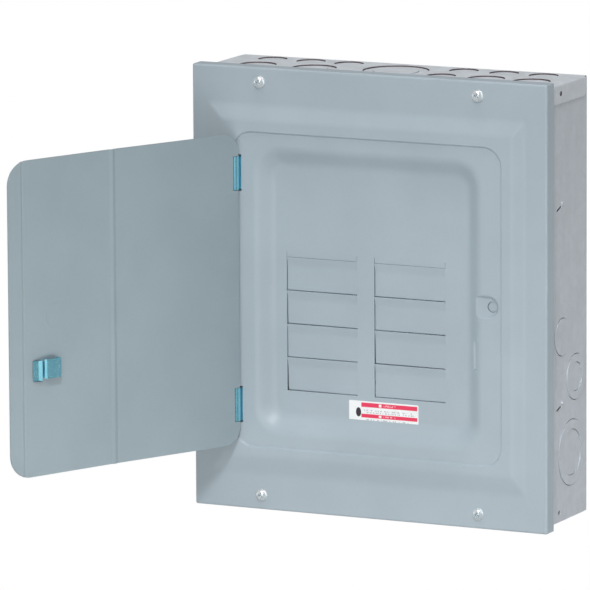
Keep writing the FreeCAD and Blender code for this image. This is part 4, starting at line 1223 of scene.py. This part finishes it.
# each row of marks: its lowest and highest place, then its left and right ends
MARK_ROWS = ((-86.9, -86.0, -6.5, 33), (-88.5, -87.6, -6.5, 36), (-93.9, -93.1, -6.5, 30))
RED_BARS, BAR_LEFT, BAR_RIGHT = ((-84.0, -80.7), (-92.0, -89.2)), -8.5, 37.5
DISC_X, DISC_Z, DISC_RADIUS, DISC_SQUEEZE = -10.8, -88.1, 2.0, 0.62


def product(tree, one, two):
    node = add(tree, "ShaderNodeMath", operation="MULTIPLY")
    tree.links.new(one, node.inputs[0])
    tree.links.new(two, node.inputs[1])
    return node.outputs[0]


def band_mask(tree, value, low, high, soft=0.06):
    """1 between two places on an axis, in millimetres, else 0."""
    rising = remap(tree, value, low - soft, low + soft, 0, 1)
    falling = remap(tree, value, high - soft, high + soft, 1, 0)
    return product(tree, rising, falling)


def label_print():
    """Red bars, rows of grey marks and a dark round pictogram, on a pale film."""
    material, tree, shader = new_material("label print", roughness=0.35, coat=0.2)
    in_mm = object_coordinates(tree, (1 / MM, 1 / MM, 1 / MM))
    axes = add(tree, "ShaderNodeSeparateXYZ")
    tree.links.new(in_mm, axes.inputs["Vector"])
    across, up = axes.outputs["X"], axes.outputs["Z"]
    words = noise(tree, object_coordinates(tree, (900, 1, 340)), 1.0, 1.0)
    inked = remap(tree, words, 0.48, 0.56, 0.0, 0.62)
    haze = remap(tree, noise(tree, in_mm, 0.12), 0.3, 0.7, 0, 1)
    colour = mixed(tree, haze, FILM_DARK, FILM_LIGHT)
    for low, high, left, right in MARK_ROWS:
        rows = product(tree, band_mask(tree, up, low, high), band_mask(tree, across, left, right))
        colour = mixed(tree, product(tree, rows, inked), colour, INK)
    for low, high in RED_BARS:
        bar = product(tree, band_mask(tree, up, low, high), band_mask(tree, across, BAR_LEFT, BAR_RIGHT))
        colour = mixed(tree, bar, colour, RED)
        pale = product(tree, band_mask(tree, up, low + 0.9, high - 0.8), band_mask(tree, across, 9.5, 19.5))
        colour = mixed(tree, product(tree, pale, inked), colour, PALE_RED)
        spot = product(tree, band_mask(tree, up, low + 0.6, high - 0.6, 0.5),
                       band_mask(tree, across, 6.0, 8.0, 0.5))
        colour = mixed(tree, spot, colour, WHITE)
    distance = add(tree, "ShaderNodeVectorMath", operation="DISTANCE")
    flat = add(tree, "ShaderNodeCombineXYZ")
    tree.links.new(across, flat.inputs["X"])
    squeezed = remap(tree, up, -100.0, 0.0, -100.0 * DISC_SQUEEZE, 0.0)
    tree.links.new(squeezed, flat.inputs["Z"])
    tree.links.new(flat.outputs[0], distance.inputs[0])
    distance.inputs[1].default_value = (DISC_X, 0, DISC_Z * DISC_SQUEEZE)
    disc = remap(tree, distance.outputs["Value"], DISC_RADIUS, DISC_RADIUS + 0.3, 1, 0)
    colour = mixed(tree, disc, colour, DISC_BLACK)
    tree.links.new(colour, shader.inputs["Base Color"])
    return material


def make_label():
    bm = bmesh.new()
    middle = (label_low + label_high) / 2
    turn = Matrix.Translation((middle.x, label_low.y, middle.z)) @ Matrix.Rotation(pi / 2, 4, "X")
    bmesh.ops.create_grid(bm, x_segments=6, y_segments=2, size=0.5, matrix=turn)
    size = label_high - label_low
    for vert in bm.verts:
        vert.co.x = middle.x + (vert.co.x - middle.x) * size.x
        vert.co.z = middle.z + (vert.co.z - middle.z) * size.z
    corners = [vert for vert in bm.verts if len(vert.link_edges) == 2]
    bmesh.ops.bevel(bm, geom=corners, offset=0.8, offset_type="OFFSET", segments=4, profile=0.5,
                    affect="VERTICES", material=-1)
    looks_towards(bm, (0, -1, 0))
    return finish_piece("label_film", bm, "trim", label_print(), ["warning_label"],
                        gauge=0.15, edge=0.03)


make_label()
print("label:", [round(value, 1) for value in (label_high - label_low)])

# %% [markdown]
# ## Behind the cover
# Lifting the cover shows the works: a tray on feet, hooked rails that the breakers clip to, a
# black moulded base with two tinned bus straps and their stabs, the line lugs, and the neutral
# bar with its row of screws. Their CAD shapes are right, so each is copied, merged and given
# broken edges, which is all that a stamped or moulded part needs to catch the light.

# %% Copy the works and break their edges
WORKS = [
    ("interior_support", "galvanized", box_zinc, 0.25), ("hook_rail_left", "galvanized", box_zinc, 0.25),
    ("hook_rail_right", "galvanized", box_zinc, 0.25), ("bus_insulator", "insulator", black_mould, 0.5),
    ("bus_bar_a", "bus_metal", tinned, 0.3), ("bus_bar_b", "bus_metal", tinned, 0.3),
    ("line_lug_a", "lug_metal", lug_metal, 0.5), ("line_lug_b", "lug_metal", lug_metal, 0.5),
    ("neutral_bar", "lug_metal", lug_metal, 0.3), ("neutral_lug", "lug_metal", lug_metal, 0.5),
    ("neutral_posts", "insulator", black_mould, 0.5), ("neutral_screws", "screw_steel", screw_zinc, 0.18),
    ("interior_screws", "screw_steel", screw_zinc, 0.18), ("bonding_screw", "bond_green", green_dye, 0.2),
    ("lug_set_screws", "screw_steel", screw_zinc, 0.2), ("neutral_lug_screw", "screw_steel", screw_zinc, 0.2),
]


def soften(node, slot, material, edge):
    """Copy a CAD part, merge its triangles and bevel its sharp edges."""
    bm = bmesh.new()
    bm.from_mesh(frame["nodes"][node].data)
    bmesh.ops.scale(bm, vec=(1 / MM, 1 / MM, 1 / MM), verts=bm.verts)
    bmesh.ops.remove_doubles(bm, verts=bm.verts, dist=0.002)
    bmesh.ops.dissolve_limit(bm, angle_limit=radians(1.5), verts=bm.verts, edges=bm.edges)
    body = frame["nodes"][node]["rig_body"]
    return finish_piece(node + "_part", bm, body, material, [node], edge=edge)


for row in WORKS:
    soften(*row)
print("works:", len(WORKS), "parts")

# %% [markdown]
# ## Floor, light and camera
# The object hangs in a plain white studio. A pale floor well below it closes the view without a
# hard shadow. Soft panels stand round it: the strongest in front, above and to the right, as the
# bright top and the shaded left of every pressed wall ask for. The world is white to the eye but
# gives the object less light than it shows, or every bend would be filled in and look flat.
# The plain view transform keeps the white white.

# %% The pale floor
# in metres
FLOOR_SIZE, FLOOR_MIDDLE, FLOOR_LEVEL = 30, 12, -0.9


def white_to_the_eye(tree, lit, output):
    """Show plain white to the camera, and the lit shader to everything else."""
    eye = add(tree, "ShaderNodeEmission" if output.bl_idname == "ShaderNodeOutputMaterial"
              else "ShaderNodeBackground")
    eye.inputs["Color"].default_value = (1, 1, 1, 1)
    eye.inputs["Strength"].default_value = 1.0
    path = add(tree, "ShaderNodeLightPath")
    blend = add(tree, "ShaderNodeMixShader")
    tree.links.new(path.outputs["Is Camera Ray"], blend.inputs[0])
    tree.links.new(lit.outputs[0], blend.inputs[1])
    tree.links.new(eye.outputs[0], blend.inputs[2])
    tree.links.new(blend.outputs[0], output.inputs["Surface"])


def make_floor():
    bm = bmesh.new()
    middle = Matrix.Translation((0, FLOOR_MIDDLE, FLOOR_LEVEL))
    bmesh.ops.create_grid(bm, x_segments=4, y_segments=4, size=FLOOR_SIZE, matrix=middle)
    floor = object_of("floor", bm, unit=1)
    material, tree, shader = new_material("pale floor", roughness=0.9)
    shader.inputs["Base Color"].default_value = (0.75, 0.75, 0.75, 1)
    white_to_the_eye(tree, shader, tree.nodes["Material Output"])
    floor.data.materials.append(material)
    floor.visible_glossy = False


make_floor()


# %% The soft lights
def soft_light(name, place, target, size, power, mirrored=True):
    light = bpy.data.lights.new(name, "AREA")
    light.shape = "RECTANGLE"
    light.size, light.size_y = size
    light.energy = power
    lamp = bpy.data.objects.new(name, light)
    lamp.location = place
    lamp.rotation_euler = (Vector(target) - Vector(place)).to_track_quat("-Z", "Y").to_euler()
    lamp.visible_glossy = mirrored
    bpy.context.scene.collection.objects.link(lamp)


def studio_world(given):
    """White to the eye, but a dimmer grey to everything it lights."""
    world = bpy.data.worlds.new("studio")
    world.use_nodes = True
    tree = world.node_tree
    sky = tree.nodes["Background"]
    sky.inputs["Color"].default_value = (1, 1, 1, 1)
    sky.inputs["Strength"].default_value = given
    white_to_the_eye(tree, sky, tree.nodes["World Output"])
    bpy.context.scene.world = world


soft_light("top panel", (0, -0.3, 2.2), (0, 0, 0), (1.2, 1.2), 20)
soft_light("high right key", (1.6, -4.1, 4.0), (0, 0, 0), (1.0, 1.0), 165)
soft_light("low left fill", (-0.8, -1.6, -0.75), (0, 0, 0), (1.0, 0.5), 1.5, mirrored=False)
soft_light("near low fill", (0.15, -0.6, -0.25), (0.05, 0, -0.12), (0.5, 0.3), 1.0, mirrored=False)
soft_light("low side fill", (1.0, 0.1, -0.4), (0.1, 0, -0.1), (0.5, 0.4), 3.4, mirrored=False)
soft_light("front panel", (0.25, -2.6, 0.2), (0, 0, 0), (1.3, 1.4), 5)
soft_light("left strip", (-2.0, -0.6, 0.1), (0, 0, 0), (0.25, 1.2), 2.2)
studio_world(0.24)
bpy.context.scene.view_settings.view_transform = "Standard"

# %% The camera
AZIMUTH, ELEVATION, ROLL = radians(25.69), radians(9.84), radians(-0.32)
DISTANCE, LENS = 5.632, 459.66
AIM_X, AIM_Z = -0.0606, -0.0022
target = Vector((AIM_X, front_y * MM, AIM_Z))
direction = Vector((sin(AZIMUTH) * cos(ELEVATION), -cos(AZIMUTH) * cos(ELEVATION), sin(ELEVATION)))
camera_data = bpy.data.cameras.new("camera")
camera_data.lens = LENS
camera_data.sensor_width = 36
camera_data.clip_end = 100
camera = bpy.data.objects.new("camera", camera_data)
camera.location = target + direction * DISTANCE
facing = (-direction).to_track_quat("-Z", "Y").to_matrix().to_4x4()
camera.rotation_euler = (facing @ Matrix.Rotation(ROLL, 4, "Z")).to_euler()
bpy.context.scene.collection.objects.link(camera)
bpy.context.scene.camera = camera
print("camera", [round(value, 3) for value in camera.location])
